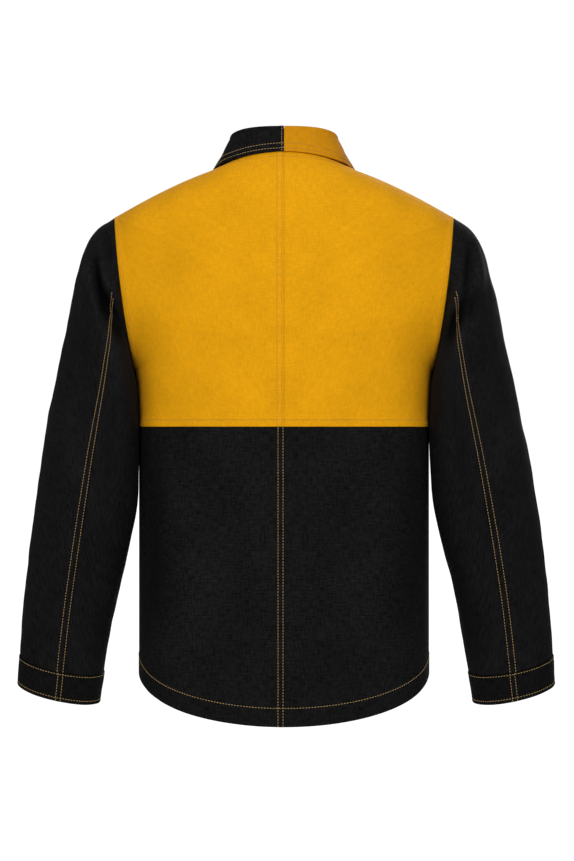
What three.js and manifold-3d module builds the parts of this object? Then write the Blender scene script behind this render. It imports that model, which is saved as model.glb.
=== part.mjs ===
import * as THREE from 'three';
import Module from 'manifold-3d';
import { mergeVertices } from 'three/addons/utils/BufferGeometryUtils.js';

// Millimetres. Drawn with z = 0 at the collar's edge at the centre back, the back towards -Y and
// the wearer's left towards -X. The finished group is moved so that the hang loop is the origin.
const CLOTH = 1.8;
const SEAM_GAP = 0.4;             // left between two pieces that are sewn together

// Body
const BACK_LENGTH = 762;          // collar edge to the hem, at the centre back
const HEM_RISE = 69;              // how far the hem curves up to the side seams
const BACK_YOKE_DEPTH = 366;      // collar edge to the back yoke's lower seam
const FRONT_YOKE_DEPTH = 165;
const SIDE_HALF = 194;            // centre to side seam
const BACK_DEPTH = 134;           // side seam to the centre back, front to back
const FRONT_DEPTH = 125;          // side seam to the centre front
const SWING_SEAM = 130;           // centre front to the seam each front swings on
const SWING_SEAM_DEPTH = 102;     // side seam to that seam, front to back
const NECK_HALF = 76;
const NECK_DROP = 18;
const BACK_NECK_RISE = 6;
const BACK_NECK_DEPTH = 62;
const FRONT_NECK_DROP = 88;
const FRONT_NECK_DEPTH = 68;
const SHOULDER_HALF = 226;
const SHOULDER_DROP = 86;
const UNDERARM_DROP = 290;
const UNDERARM_EASE = 5;          // how much wider the body is under the arm than at the hem
const ARMHOLE_HALF_DEPTH = 72;

// Sleeves and cuffs
const SLEEVE_DROP = 625;          // shoulder tip to the cuff's outer end
const SLEEVE_SPREAD = 128;        // shoulder tip to the cuff's outer end, sideways
const UNDERSLEEVE_DROP = 444;     // underarm to the cuff's inner end
const UNDERSLEEVE_SPREAD = 46;
const CUFF_THICKNESS = 3;
const CUFF_PROUD = 1.2;           // the cuff stands this far outside the sleeve
const CUFF_FORWARD = 25;          // how far the cuff hangs in front of the shoulder

// Collar and hang loop
const FOLD_HALF = 68;
const FOLD_SIDE_RISE = 20;
const FOLD_BACK_RISE = 31;
const FOLD_BACK_DEPTH = 55;
const FOLD_FRONT_DEPTH = 74;
const FOLD_FRONT_DROP = 64;
const LEAF_LIFT = 3.2;            // leaf edge above the cloth it lies on
const LOOP_WIDTH = 56;
const LOOP_TAPE = 8;
const LOOP_THICKNESS = 1.6;
const LOOP_RISE = 20;             // underside of the loop's top above the collar edge
const LOOP_LEG = 28;
const LOOP_CLEAR = 0.8;           // the loop's back to the inside of the collar stand
const LOOP_BACK = FOLD_BACK_DEPTH - CLOTH - LOOP_CLEAR;

// Press studs
const LAP = 22;                   // each front passes the centre by this much
const SNAP_COUNT = 5;             // on each opening front; one more closes the yokes
const SNAP_FIRST_DROP = 215;
const SNAP_SPACING = 108;
const SNAP_CLEAR = 0.4;
const CAP_RADIUS = 7;
const CAP_HEIGHT = 2.6;
const SOCKET_RADIUS = 5.75;
const SOCKET_HEIGHT = 2;
const SOCKET_BORE = 2.35;
const SOCKET_BORE_DEPTH = 1;
const STUD_RADIUS = 5;
const STUD_FLANGE = 0.8;
const NUB_RADIUS = 1.9;
const NUB_HEIGHT = 0.9;
const BACK_PLATE_RADIUS = 5.5;
const BACK_PLATE_HEIGHT = 1.2;
const POST_RADIUS = 2.4;
const POST_HOLE_CLEAR = 0.35;
const LAP_DROP = CLOTH + SOCKET_HEIGHT + STUD_FLANGE + 3 * SNAP_CLEAR;

const SIDE_HEM = BACK_LENGTH - HEM_RISE;
const QUARTER = Math.PI / 2;
const { lerp, smoothstep, clamp } = THREE.MathUtils;
const vec = (x, y, z) => new THREE.Vector3(x, y, z);
const range = (count) => Array.from({ length: count + 1 }, (_, i) => i / count);
const signedPower = (a, p) => Math.sign(a) * Math.abs(a) ** p;

const YELLOW = new THREE.Color(0xe09c0e);
const BLACK = new THREE.Color(0x171718);
const NICKEL = new THREE.Color(0xa9a59c);

const wasm = await Module();
wasm.setup();

// ---- Solids ------------------------------------------------------------------------------

function solid(positions, triangles) {
  const geometry = new THREE.BufferGeometry();
  geometry.setAttribute('position', new THREE.BufferAttribute(new Float32Array(positions), 3));
  geometry.setIndex(triangles);
  return geometry;
}

// A wall between a grid of outer points and the same grid moved inwards. A closed one joins up
// along its rows, as a cuff does.
function wall(rows, outwards, thickness, closed = false) {
  const across = rows[0].length;
  const count = rows.length * across;
  const positions = [];
  rows.forEach((row) => row.forEach((p) => positions.push(p.x, p.y, p.z)));
  rows.forEach((row, i) => row.forEach((p, j) => {
    const q = p.clone().addScaledVector(outwards[i][j], -thickness);
    positions.push(q.x, q.y, q.z);
  }));
  const at = (i, j) => i * across + (j % across);
  const triangles = [];
  const quad = (a, b, c, d) => triangles.push(a, b, c, a, c, d);
  const last = closed ? across : across - 1;
  for (let j = 0; j < last; j++) {
    for (let i = 0; i < rows.length - 1; i++) {
      quad(at(i, j), at(i, j + 1), at(i + 1, j + 1), at(i + 1, j));
      quad(count + at(i, j), count + at(i + 1, j), count + at(i + 1, j + 1), count + at(i, j + 1));
    }
    const end = rows.length - 1;
    quad(at(0, j + 1), at(0, j), count + at(0, j), count + at(0, j + 1));
    quad(at(end, j), at(end, j + 1), count + at(end, j + 1), count + at(end, j));
  }
  if (!closed) {
    for (let i = 0; i < rows.length - 1; i++) {
      quad(at(i, 0), at(i + 1, 0), count + at(i + 1, 0), count + at(i, 0));
      quad(at(i + 1, last), at(i, last), count + at(i, last), count + at(i + 1, last));
    }
  }
  if (volume(positions, triangles) < 0) triangles.reverse();
  return solid(positions, triangles);
}

function volume(positions, triangles) {
  let total = 0;
  const corner = (i) => vec(...positions.slice(3 * i, 3 * i + 3));
  for (let t = 0; t < triangles.length; t += 3) {
    const [a, b, c] = [0, 1, 2].map((k) => corner(triangles[t + k]));
    total += a.dot(b.cross(c));
  }
  return total;
}

// Every edge of a sewn piece steps back by half a seam gap.
function trimmed(rows) {
  const step = (p, q) => p.clone().addScaledVector(q.clone().sub(p).normalize(), SEAM_GAP / 2);
  const sides = rows.map((row) => {
    const n = row.length - 1;
    return row.map((p, j) => (j === 0 ? step(p, row[1]) : j === n ? step(p, row[n - 1]) : p));
  });
  const m = rows.length - 1;
  return sides.map((row, i) => row.map((p, j) => {
    if (i === 0) return step(p, sides[1][j]);
    return i === m ? step(p, sides[m - 1][j]) : p;
  }));
}

function toManifold(geometry) {
  const plain = geometry.clone();
  plain.deleteAttribute('normal');
  plain.deleteAttribute('uv');
  const merged = mergeVertices(plain, 1e-4);
  return new wasm.Manifold(new wasm.Mesh({
    numProp: 3,
    vertProperties: new Float32Array(merged.attributes.position.array),
    triVerts: new Uint32Array(merged.index.array),
  }));
}

function drilled(geometry, posts) {
  let body = toManifold(geometry);
  posts.forEach((post) => { body = body.subtract(toManifold(post)); });
  const mesh = body.getMesh();
  return solid(Array.from(mesh.vertProperties), Array.from(mesh.triVerts));
}

// ---- Body surface ------------------------------------------------------------------------
// A place on the body is (ring, across). Rings 0-1 end on the shoulder seam, 1-2 on the armhole,
// 2-3 on the side seam above the back yoke's lower seam and 3-4 below it. Across runs from the
// centre (0) to that edge (1).

const shoulderTip = vec(SHOULDER_HALF, 0, -SHOULDER_DROP);
const underarm = vec(SIDE_HALF + UNDERARM_EASE, 0, -UNDERARM_DROP);
const neckSide = vec(NECK_HALF, 4, -NECK_DROP);

function armhole(turn, face) {
  const middle = shoulderTip.clone().add(underarm).multiplyScalar(0.5);
  const half = shoulderTip.clone().sub(underarm).multiplyScalar(0.5);
  return middle.addScaledVector(half, Math.cos(turn))
    .add(vec(0, face * ARMHOLE_HALF_DEPTH * Math.sin(turn), 0));
}

function edgeAt(ring, face) {
  if (ring <= 1) {
    const p = neckSide.clone().lerp(shoulderTip, ring);
    return p.setZ(lerp(-NECK_DROP, -SHOULDER_DROP, ring ** 1.1));
  }
  if (ring <= 2) return armhole((ring - 1) * Math.PI, face);
  if (ring <= 3) {
    const ease = UNDERARM_EASE * (3 - ring) ** 1.5;
    return vec(SIDE_HALF + ease, 0, lerp(-UNDERARM_DROP, -BACK_YOKE_DEPTH, ring - 2));
  }
  return vec(SIDE_HALF, 0, lerp(-BACK_YOKE_DEPTH, -SIDE_HEM, ring - 3));
}

function backCentre(ring) {
  const stops = [BACK_NECK_RISE, -SHOULDER_DROP - 44, -UNDERARM_DROP, -BACK_YOKE_DEPTH, -BACK_LENGTH];
  const i = Math.min(Math.floor(ring), 3);
  const z = lerp(stops[i], stops[i + 1], ring - i);
  const fullness = 1 - Math.exp(-(BACK_NECK_RISE - z) / 60);
  return vec(0, -lerp(BACK_NECK_DEPTH, BACK_DEPTH, fullness), z);
}

const FRONT_YOKE_RING = 1 + Math.acos((UNDERARM_DROP + SHOULDER_DROP - 2 * FRONT_YOKE_DEPTH)
  / (UNDERARM_DROP - SHOULDER_DROP)) / Math.PI;

function frontCentre(ring) {
  const middle = lerp(-FRONT_NECK_DROP, -FRONT_YOKE_DEPTH, 0.48);
  const z = ring <= 1 ? lerp(-FRONT_NECK_DROP, middle, ring)
    : lerp(middle, -FRONT_YOKE_DEPTH, (ring - 1) / (FRONT_YOKE_RING - 1));
  const slope = clamp((z + FRONT_YOKE_DEPTH) / (FRONT_YOKE_DEPTH - FRONT_NECK_DROP), 0, 1);
  return vec(0, lerp(FRONT_DEPTH, FRONT_NECK_DEPTH, slope ** 1.5), z);
}

// How far each ring wraps round before it reaches its edge, and how square its corner is.
function wrapAt(ring) {
  const open = ring > 1 && ring < 2 ? Math.sin((ring - 1) * Math.PI) : 0;
  return { angle: QUARTER * (1 - 0.31 * open), power: 0.83 + 0.17 * open };
}

function girth(edge, centre, { angle, power }, across, fall = 2) {
  const a = across * angle;
  const wide = signedPower(Math.sin(a), power) / Math.sin(angle) ** power;
  const deep = Math.max(0, (Math.cos(a) - Math.cos(angle)) / (1 - Math.cos(angle))) ** power;
  const drop = Math.max(0, Math.cos(across * QUARTER)) ** fall;
  return vec(edge.x * wide, lerp(edge.y, centre.y, deep), lerp(edge.z, centre.z, drop));
}

function backPoint(ring, across) {
  const edge = edgeAt(ring, -1);
  const centre = backCentre(ring);
  const p = girth(edge, centre, wrapAt(ring), across);
  if (ring > 3) p.z = lerp(edge.z, centre.z, Math.sqrt(Math.max(0, 1 - (p.x / edge.x) ** 2)));
  return p;
}

// The front's plan below its yoke: a shallow curve to the swing seam, then round to the side.
function frontPlan(x, edge) {
  const fall = (FRONT_DEPTH - SWING_SEAM_DEPTH) / SWING_SEAM ** 2;
  if (Math.abs(x) <= SWING_SEAM) return FRONT_DEPTH - fall * x * x;
  const reach = edge.x - SWING_SEAM;
  const t = 1 - Math.sqrt(Math.max(0, (edge.x - x) / reach));
  const corner = SWING_SEAM_DEPTH - 2 * fall * SWING_SEAM * reach;
  return (1 - t) ** 2 * SWING_SEAM_DEPTH + 2 * t * (1 - t) * corner + t * t * edge.y;
}

function frontPoint(ring, across) {
  const edge = edgeAt(ring, 1);
  const p = girth(edge, frontCentre(ring), wrapAt(ring), across);
  const settled = smoothstep(ring, 0.6, FRONT_YOKE_RING);
  return p.setY(lerp(p.y, frontPlan(p.x, edge), settled));
}

function frontNormal(ring, across) {
  const d = 1e-3;
  const down = frontPoint(ring + d, across).sub(frontPoint(ring, across));
  const side = frontPoint(ring, across + d).sub(frontPoint(ring, across));
  return side.cross(down).normalize();
}

// The way the cloth's outer side faces. Pieces that meet at a seam share it there.
function outward(p) {
  const up = Math.max(0, p.z + FRONT_YOKE_DEPTH) / 110 ** 2;
  return vec(p.x / 200 ** 2, p.y / 130 ** 2, up).normalize();
}

function bodyPiece(rows) {
  const cut = trimmed(rows);
  return wall(cut, cut.map((row) => row.map(outward)), CLOTH);
}

const mirrored = (rows, side) => rows.map((row) => row.map((p) => vec(side * p.x, p.y, p.z)));
const grid = (rings, acrosses, place) => rings.map((r) => acrosses.map((s) => place(r, s)));
const ringsBetween = (...stops) => stops.slice(1).flatMap(([to, steps], i) => {
  const from = Array.isArray(stops[i]) ? stops[i][0] : stops[i];
  return range(steps).slice(i ? 1 : 0).map((t) => lerp(from, to, t));
});

const BACK_ACROSS = range(9);
const backYoke = (side) => bodyPiece(mirrored(
  grid(ringsBetween(0, [1, 4], [2, 6], [3, 2]), BACK_ACROSS, backPoint), side));
const backPanel = (side) => bodyPiece(mirrored(
  grid(ringsBetween(3, [4, 5]), BACK_ACROSS, backPoint), side));

// ---- Fronts ------------------------------------------------------------------------------

const yokeEdge = edgeAt(FRONT_YOKE_RING, 1);
const SWING_COLUMNS = [-LAP, -LAP / 3, LAP / 3, LAP, ...range(4).slice(1)
  .map((t) => lerp(LAP, SWING_SEAM, t))];
const SIDE_SHARES = range(4);
const sideColumns = (edge) => SIDE_SHARES.map((t) => lerp(SWING_SEAM, edge.x, 1 - (1 - t) ** 1.6));

function acrossFor(x) {
  const { angle, power } = wrapAt(FRONT_YOKE_RING);
  const wide = signedPower(x / yokeEdge.x, 1 / power) * Math.sin(angle);
  return Math.asin(clamp(wide, -1, 1)) / angle;
}
const YOKE_ACROSS = [...SWING_COLUMNS, ...sideColumns(yokeEdge).slice(1)].map(acrossFor);

// The right front passes under the left, so it steps in near the centre.
const lapDrop = (side, x) => (side < 0 ? 0 : LAP_DROP * (1 - smoothstep(x, LAP + 2, LAP + 30)));

function frontYokePoint(side) {
  return (ring, across) => {
    const p = frontPoint(ring, across);
    return p.addScaledVector(frontNormal(ring, across), -lapDrop(side, p.x));
  };
}

const frontYoke = (side) => bodyPiece(mirrored(
  grid(ringsBetween(0, [1, 4], [FRONT_YOKE_RING, 2]), YOKE_ACROSS, frontYokePoint(side)), side));

const swingDrops = range(5).map((t) => lerp(FRONT_YOKE_DEPTH, SIDE_HEM, t));
const frontPanel = (side) => bodyPiece(mirrored(grid(swingDrops, SWING_COLUMNS,
  (drop, x) => vec(x, frontPlan(x, yokeEdge) - lapDrop(side, x), -drop)), side));

const sideFront = (side) => bodyPiece(mirrored(
  ringsBetween(FRONT_YOKE_RING, [2, 4], [3, 2], [4, 4]).map((ring) => {
    const edge = edgeAt(ring, 1);
    return sideColumns(edge).map((x) => vec(x, frontPlan(x, edge), edge.z));
  }), side));

// ---- Sleeves -----------------------------------------------------------------------------
// Each station: how far down and out its top edge is, how far down and out its underside is
// (all as shares of the whole), half its depth, and how far its seams are from the top.

const SLEEVE_STATIONS = [
  [0, 0, 0, 0, ARMHOLE_HALF_DEPTH, 0.38],
  [0.027, 0.19, 0.056, 0.02, 75, 0.4],
  [0.07, 0.33, 0.113, 0, 77, 0.45],
  [0.134, 0.41, 0.169, -0.02, 78, 0.47],
  [0.23, 0.5, 0.236, -0.02, 77, 0.47],
  [0.334, 0.6, 0.304, -0.02, 75, 0.46],
  [0.47, 0.72, 0.4, 0, 71, 0.46],
  [0.606, 0.82, 0.518, 0.18, 67, 0.47],
  [0.758, 0.91, 0.687, 0.48, 61, 0.47],
  [0.886, 0.97, 0.838, 0.74, 54, 0.48],
  [0.931, 0.992, 0.9, 0.84, 51, 0.48],
];
const CUFF_STATIONS = [
  [0.931, 0.992, 0.9, 0.84, 51, 0.48],
  [0.967, 0.998, 0.95, 0.92, 49, 0.48],
  [1, 1, 1, 1, 47, 0.48],
];

function sleeveRing([topDrop, topOut, underDrop, underOut, halfDepth, seam]) {
  const top = vec(SHOULDER_HALF + SLEEVE_SPREAD * topOut, 0, -SHOULDER_DROP - SLEEVE_DROP * topDrop);
  const under = vec(underarm.x + UNDERSLEEVE_SPREAD * underOut, 0,
    -UNDERARM_DROP - UNDERSLEEVE_DROP * underDrop);
  const share = smoothstep(topDrop, 0.3, 1);
  const middle = top.clone().add(under).multiplyScalar(0.5).setY(CUFF_FORWARD * share);
  const half = top.sub(under).multiplyScalar(0.5);
  const tilt = 0.22 * share;
  const deep = vec(0, Math.cos(tilt), Math.sin(tilt)).multiplyScalar(halfDepth);
  const leave = vec(0.991, 0, -0.132).multiplyScalar(SEAM_GAP);
  const place = (turn, grow = 0) => {
    const radial = half.clone().multiplyScalar(Math.cos(turn)).addScaledVector(deep, -Math.sin(turn));
    const facing = radial.clone().normalize();
    return { point: middle.clone().add(radial).addScaledVector(facing, grow).add(leave), facing };
  };
  return { place, seamTurn: Math.acos(1 - 2 * seam) };
}

function sleevePiece(side, upper) {
  const rows = SLEEVE_STATIONS.map((station) => {
    const { place, seamTurn } = sleeveRing(station);
    const [from, to] = upper ? [-seamTurn, seamTurn] : [seamTurn, 2 * Math.PI - seamTurn];
    return range(upper ? 10 : 8).map((t) => place(lerp(from, to, t)));
  });
  const points = rows.map((row) => row.map(({ point }) => point));
  const facings = rows.map((row) => row.map(({ facing }) => facing));
  return wall(mirrored(trimmed(points), side), mirrored(facings, side), CLOTH);
}

function cuff(side) {
  const rows = CUFF_STATIONS.map((station, i) => {
    const { place } = sleeveRing(station);
    const ring = Array.from({ length: 20 }, (_, k) => place(2 * Math.PI * k / 20, CUFF_PROUD));
    return i ? ring : ring.map(({ point, facing }) => ({ facing,
      point: point.add(vec(0, 0, -SEAM_GAP)) }));
  });
  const points = rows.map((row) => row.map(({ point }) => point));
  const facings = rows.map((row) => row.map(({ facing }) => facing));
  return wall(mirrored(points, side), mirrored(facings, side), CUFF_THICKNESS, true);
}

// ---- Collar and hang loop ----------------------------------------------------------------
// Round the neck from the centre back (0) over the shoulder seam (1) towards the centre front.

const COLLAR_END = 1.8;
const roundNeck = range(13).map((t) => t * COLLAR_END);
const fullWrap = { angle: QUARTER, power: 0.83 };

function neckSeam(round) {
  return round <= 1 ? backPoint(0, round) : frontPoint(0, 2 - round);
}

function foldLine(round) {
  const edge = vec(FOLD_HALF, 3, FOLD_SIDE_RISE);
  const centre = round <= 1 ? vec(0, -FOLD_BACK_DEPTH, FOLD_BACK_RISE)
    : vec(0, FOLD_FRONT_DEPTH, -FOLD_FRONT_DROP);
  return girth(edge, centre, fullWrap, round <= 1 ? round : 2 - round, round <= 1 ? 1 : 2);
}

function leafEdge(round) {
  const past = Math.max(0, (round - 1) / (COLLAR_END - 1));
  const p = round <= 1 ? backPoint(lerp(0.07, 0.1, round), round)
    : frontPoint(0.1 + 0.7 * past ** 1.3, lerp(1, 0.154, past));
  return p.addScaledVector(outward(p), LEAF_LIFT);
}

const fromNeck = (p) => vec(p.x, p.y, 0).normalize();

function collarStand() {
  const rounds = [...roundNeck.slice(1).reverse().map((r) => -r), ...roundNeck];
  const rows = range(3).map((t) => rounds.map((round) => {
    const seam = neckSeam(Math.abs(round)).add(vec(0, 0, SEAM_GAP / 2));
    const p = seam.lerp(foldLine(Math.abs(round)), t);
    return vec(Math.sign(round || 1) * p.x, p.y, p.z);
  }));
  return wall(rows, rows.map((row) => row.map(fromNeck)), CLOTH);
}

// The leaf rolls over the top of the stand, then falls to its edge.
function leafProfile(round) {
  const top = foldLine(round);
  const away = fromNeck(top);
  const roll = [[-1.6, 2.5], [1.2, 3.3], [4.2, 1.4], [5.4, -4]];
  const rolled = roll.map(([out, up]) => top.clone().addScaledVector(away, out).add(vec(0, 0, up)));
  const edge = leafEdge(round);
  const fall = range(4).slice(1).map((t) => rolled[3].clone().lerp(edge, t)
    .addScaledVector(away, 6 * t * (1 - t)));
  return [...rolled, ...fall];
}

function collarLeaf(side) {
  const profiles = roundNeck.map(leafProfile);
  const facing = (profile, i) => {
    const down = profile[Math.min(i + 1, profile.length - 1)].clone().sub(profile[Math.max(i - 1, 0)]);
    return down.cross(vec(0, 0, 1).cross(fromNeck(profile[0]))).normalize();
  };
  const facings = profiles[0].map((_, i) => profiles.map((profile) => facing(profile, i)));
  const rows = profiles[0].map((_, i) => profiles.map((profile) => profile[i]));
  return wall(mirrored(trimmed(rows), side), mirrored(facings, side), CLOTH);
}

function hangLoop() {
  const half = LOOP_WIDTH / 2;
  const inner = half - LOOP_THICKNESS;
  const outline = [[-half, LOOP_RISE - LOOP_LEG], [-inner, LOOP_RISE - LOOP_LEG], [-inner, LOOP_RISE],
    [inner, LOOP_RISE], [inner, LOOP_RISE - LOOP_LEG], [half, LOOP_RISE - LOOP_LEG],
    [half, LOOP_RISE + LOOP_THICKNESS], [-half, LOOP_RISE + LOOP_THICKNESS]];
  const shape = new THREE.Shape(outline.map(([x, z]) => new THREE.Vector2(x, z)));
  const geometry = new THREE.ExtrudeGeometry(shape, { depth: LOOP_TAPE, bevelEnabled: false });
  return geometry.rotateX(QUARTER).translate(0, LOOP_TAPE - LOOP_BACK, 0);
}

// ---- Press studs -------------------------------------------------------------------------
// Heights are above the left front's outer side, along the snap's own axis.

function turned(profile, place) {
  const points = profile.map(([r, h]) => new THREE.Vector2(r, h));
  const geometry = new THREE.LatheGeometry(points, 12);
  return geometry.applyMatrix4(place);
}

function snapPlace(point, facing) {
  const turn = new THREE.Quaternion().setFromUnitVectors(vec(0, 1, 0), facing);
  return new THREE.Matrix4().compose(point, turn, vec(1, 1, 1));
}

function snapCap(place) {
  const under = SNAP_CLEAR;
  const socketTop = -CLOTH - SNAP_CLEAR;
  const socketEnd = socketTop - SOCKET_HEIGHT;
  return turned([[0, socketEnd + SOCKET_BORE_DEPTH], [SOCKET_BORE, socketEnd + SOCKET_BORE_DEPTH],
    [SOCKET_BORE, socketEnd], [SOCKET_RADIUS, socketEnd], [SOCKET_RADIUS, socketTop],
    [POST_RADIUS, socketTop], [POST_RADIUS, under], [CAP_RADIUS, under],
    [CAP_RADIUS, under + 0.4 * CAP_HEIGHT], [0.75 * CAP_RADIUS, under + 0.85 * CAP_HEIGHT],
    [0.35 * CAP_RADIUS, under + CAP_HEIGHT], [0, under + CAP_HEIGHT]], place);
}

function snapStud(place) {
  const clothTop = -LAP_DROP;
  const flangeTop = clothTop + SNAP_CLEAR + STUD_FLANGE;
  const plateTop = clothTop - CLOTH - SNAP_CLEAR;
  return turned([[0, plateTop - BACK_PLATE_HEIGHT], [BACK_PLATE_RADIUS, plateTop - BACK_PLATE_HEIGHT],
    [BACK_PLATE_RADIUS, plateTop], [POST_RADIUS, plateTop], [POST_RADIUS, clothTop + SNAP_CLEAR],
    [STUD_RADIUS, clothTop + SNAP_CLEAR], [STUD_RADIUS, flangeTop], [NUB_RADIUS, flangeTop],
    [NUB_RADIUS, flangeTop + NUB_HEIGHT], [0, flangeTop + NUB_HEIGHT]], place);
}

function postHole(place) {
  const r = POST_RADIUS + POST_HOLE_CLEAR;
  return turned([[0, -4 * LAP_DROP], [r, -4 * LAP_DROP], [r, 3 * CLOTH], [0, 3 * CLOTH]], place);
}

// ---- Assembly ----------------------------------------------------------------------------

const group = new THREE.Group();
const loopFace = vec(0, LOOP_TAPE / 2 - LOOP_BACK, LOOP_RISE);

function add(name, geometry, color, roughness = 0.9, metalness = 0) {
  const material = new THREE.MeshStandardMaterial({ color, roughness, metalness });
  const mesh = new THREE.Mesh(geometry, material);
  mesh.name = name;
  mesh.position.copy(loopFace).negate();
  group.add(mesh);
}

// The yokes' snap sits in the middle of the flat between their last rings but one.
const snapFlat = [1, (1 + FRONT_YOKE_RING) / 2].map((ring) => frontPoint(ring, acrossFor(LAP / 3)));
const snapSlope = snapFlat[1].clone().sub(snapFlat[0]).setX(0);
const yokeSnap = snapPlace(snapFlat[0].clone().add(snapFlat[1]).multiplyScalar(0.5).setX(0),
  vec(1, 0, 0).cross(snapSlope).normalize());
const frontSnaps = Array.from({ length: SNAP_COUNT }, (_, i) => snapPlace(
  vec(0, FRONT_DEPTH, -SNAP_FIRST_DROP - i * SNAP_SPACING), vec(0, 1, 0)));

[['left', -1], ['right', 1]].forEach(([word, side]) => {
  add(`back_yoke_${word}`, backYoke(side), YELLOW);
  add(`back_panel_${word}`, backPanel(side), BLACK);
  add(`front_yoke_${word}`, drilled(frontYoke(side), [postHole(yokeSnap)]), YELLOW);
  add(`side_front_${word}`, sideFront(side), BLACK);
  add(`front_panel_${word}`, drilled(frontPanel(side), frontSnaps.map(postHole)), BLACK);
  add(`sleeve_upper_${word}`, sleevePiece(side, true), BLACK);
  add(`sleeve_under_${word}`, sleevePiece(side, false), BLACK);
  add(`cuff_${word}`, cuff(side), BLACK);
  add(`collar_leaf_${word}`, collarLeaf(side), side < 0 ? BLACK : YELLOW);
});
add('collar_stand', collarStand(), BLACK);
add('hang_loop', hangLoop(), BLACK);
[yokeSnap, ...frontSnaps].forEach((place, i) => {
  add(`snap_cap_${i + 1}`, snapCap(place), NICKEL, 0.35, 1);
  add(`snap_stud_${i + 1}`, snapStud(place), NICKEL, 0.35, 1);
});

export default group;
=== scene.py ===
"""A two-tone work jacket: cloth panels, stitching and press studs built over its CAD frame."""

import math

import bpy
import numpy as np
from bpy.props import FloatProperty, FloatVectorProperty, IntProperty, PointerProperty
from mathutils import Matrix, Vector


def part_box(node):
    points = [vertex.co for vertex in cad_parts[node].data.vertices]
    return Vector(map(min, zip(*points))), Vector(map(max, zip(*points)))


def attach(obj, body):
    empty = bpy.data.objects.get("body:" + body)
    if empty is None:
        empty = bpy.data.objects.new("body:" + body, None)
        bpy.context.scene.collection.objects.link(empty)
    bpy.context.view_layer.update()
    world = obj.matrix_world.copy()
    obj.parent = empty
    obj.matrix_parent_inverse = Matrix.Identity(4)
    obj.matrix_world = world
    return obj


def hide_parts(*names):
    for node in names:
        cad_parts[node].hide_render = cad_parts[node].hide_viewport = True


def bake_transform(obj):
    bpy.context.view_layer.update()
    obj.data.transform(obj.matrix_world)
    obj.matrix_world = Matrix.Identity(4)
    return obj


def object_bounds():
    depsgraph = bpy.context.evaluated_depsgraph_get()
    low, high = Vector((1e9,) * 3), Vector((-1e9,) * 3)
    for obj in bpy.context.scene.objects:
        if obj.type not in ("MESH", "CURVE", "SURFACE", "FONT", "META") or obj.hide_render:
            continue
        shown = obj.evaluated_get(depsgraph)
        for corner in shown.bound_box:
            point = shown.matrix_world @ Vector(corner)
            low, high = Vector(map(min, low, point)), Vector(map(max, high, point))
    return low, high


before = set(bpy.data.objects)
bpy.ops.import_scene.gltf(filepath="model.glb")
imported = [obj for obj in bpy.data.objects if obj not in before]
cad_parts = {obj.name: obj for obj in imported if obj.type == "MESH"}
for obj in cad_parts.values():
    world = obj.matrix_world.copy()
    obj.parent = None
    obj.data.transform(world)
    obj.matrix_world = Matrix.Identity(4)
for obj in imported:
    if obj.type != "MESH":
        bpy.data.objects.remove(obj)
CAD_BOX = [list(corner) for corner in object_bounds()]

bl_info = {
    "name": "Two-tone work jacket",
    "version": (1, 0, 0),
    "blender": (4, 5, 0),
    "location": "3D View > Sidebar > Jacket",
    "description": "Builds a two-tone work jacket over its CAD frame, with its stitching and studs",
    "category": "Add Mesh",
}

SIDES = (("left", -1), ("right", 1))

# Seam allowances: the edge they run on from, and the depths of their two faces in millimetres.
CENTRE_SEAM = ("start", 1.1, 1.65)
ARMHOLE_SEAM = ("top", 1.5, 3.1)

# In millimetres: how far the right front lies below the left where they lap, how deep a yoke's
# lower seam is turned in, and its row of stitches.
LAP_DROP = 5.8
YOKE_TURN, YOKE_ROW = 10.5, 9.0

# The share of a sleeve's length at which its cuff starts.
CUFF_START = 0.945


# ---- Settings ----------------------------------------------------------------------------


def length(name, description, default):
    return FloatProperty(
        name=name, description=description, default=default, min=0.0, unit="LENGTH", subtype="DISTANCE"
    )


def tint(name, description, default):
    return FloatVectorProperty(
        name=name, description=description, default=default, size=3, min=0.0, max=1.0, subtype="COLOR"
    )


class JacketSizes(bpy.types.PropertyGroup):
    """The sizes the jacket is cut to."""

    back_length: length("Back length", "Collar edge to hem at the centre back", 0.762)
    hem_rise: length("Hem rise", "How far the hem curves up to the side seams", 0.069)
    back_yoke: length("Back yoke", "Collar edge to the back yoke's lower seam", 0.366)
    front_yoke: length("Front yoke", "Collar edge level to the front yokes' lower seam", 0.165)
    side_half: length("Half width", "Centre to side seam", 0.194)
    back_depth: length("Back depth", "Side seam to the centre back", 0.134)
    front_depth: length("Front depth", "Side seam to the centre front", 0.125)
    shoulder_half: length("Half shoulder", "Centre to shoulder tip", 0.226)
    sleeve_drop: length("Sleeve drop", "Shoulder tip to the cuff's outer end", 0.625)
    sleeve_spread: length("Sleeve spread", "How far the cuff stands out from the shoulder tip", 0.128)
    lap: length("Lap", "How far each front passes the centre", 0.022)


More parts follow.
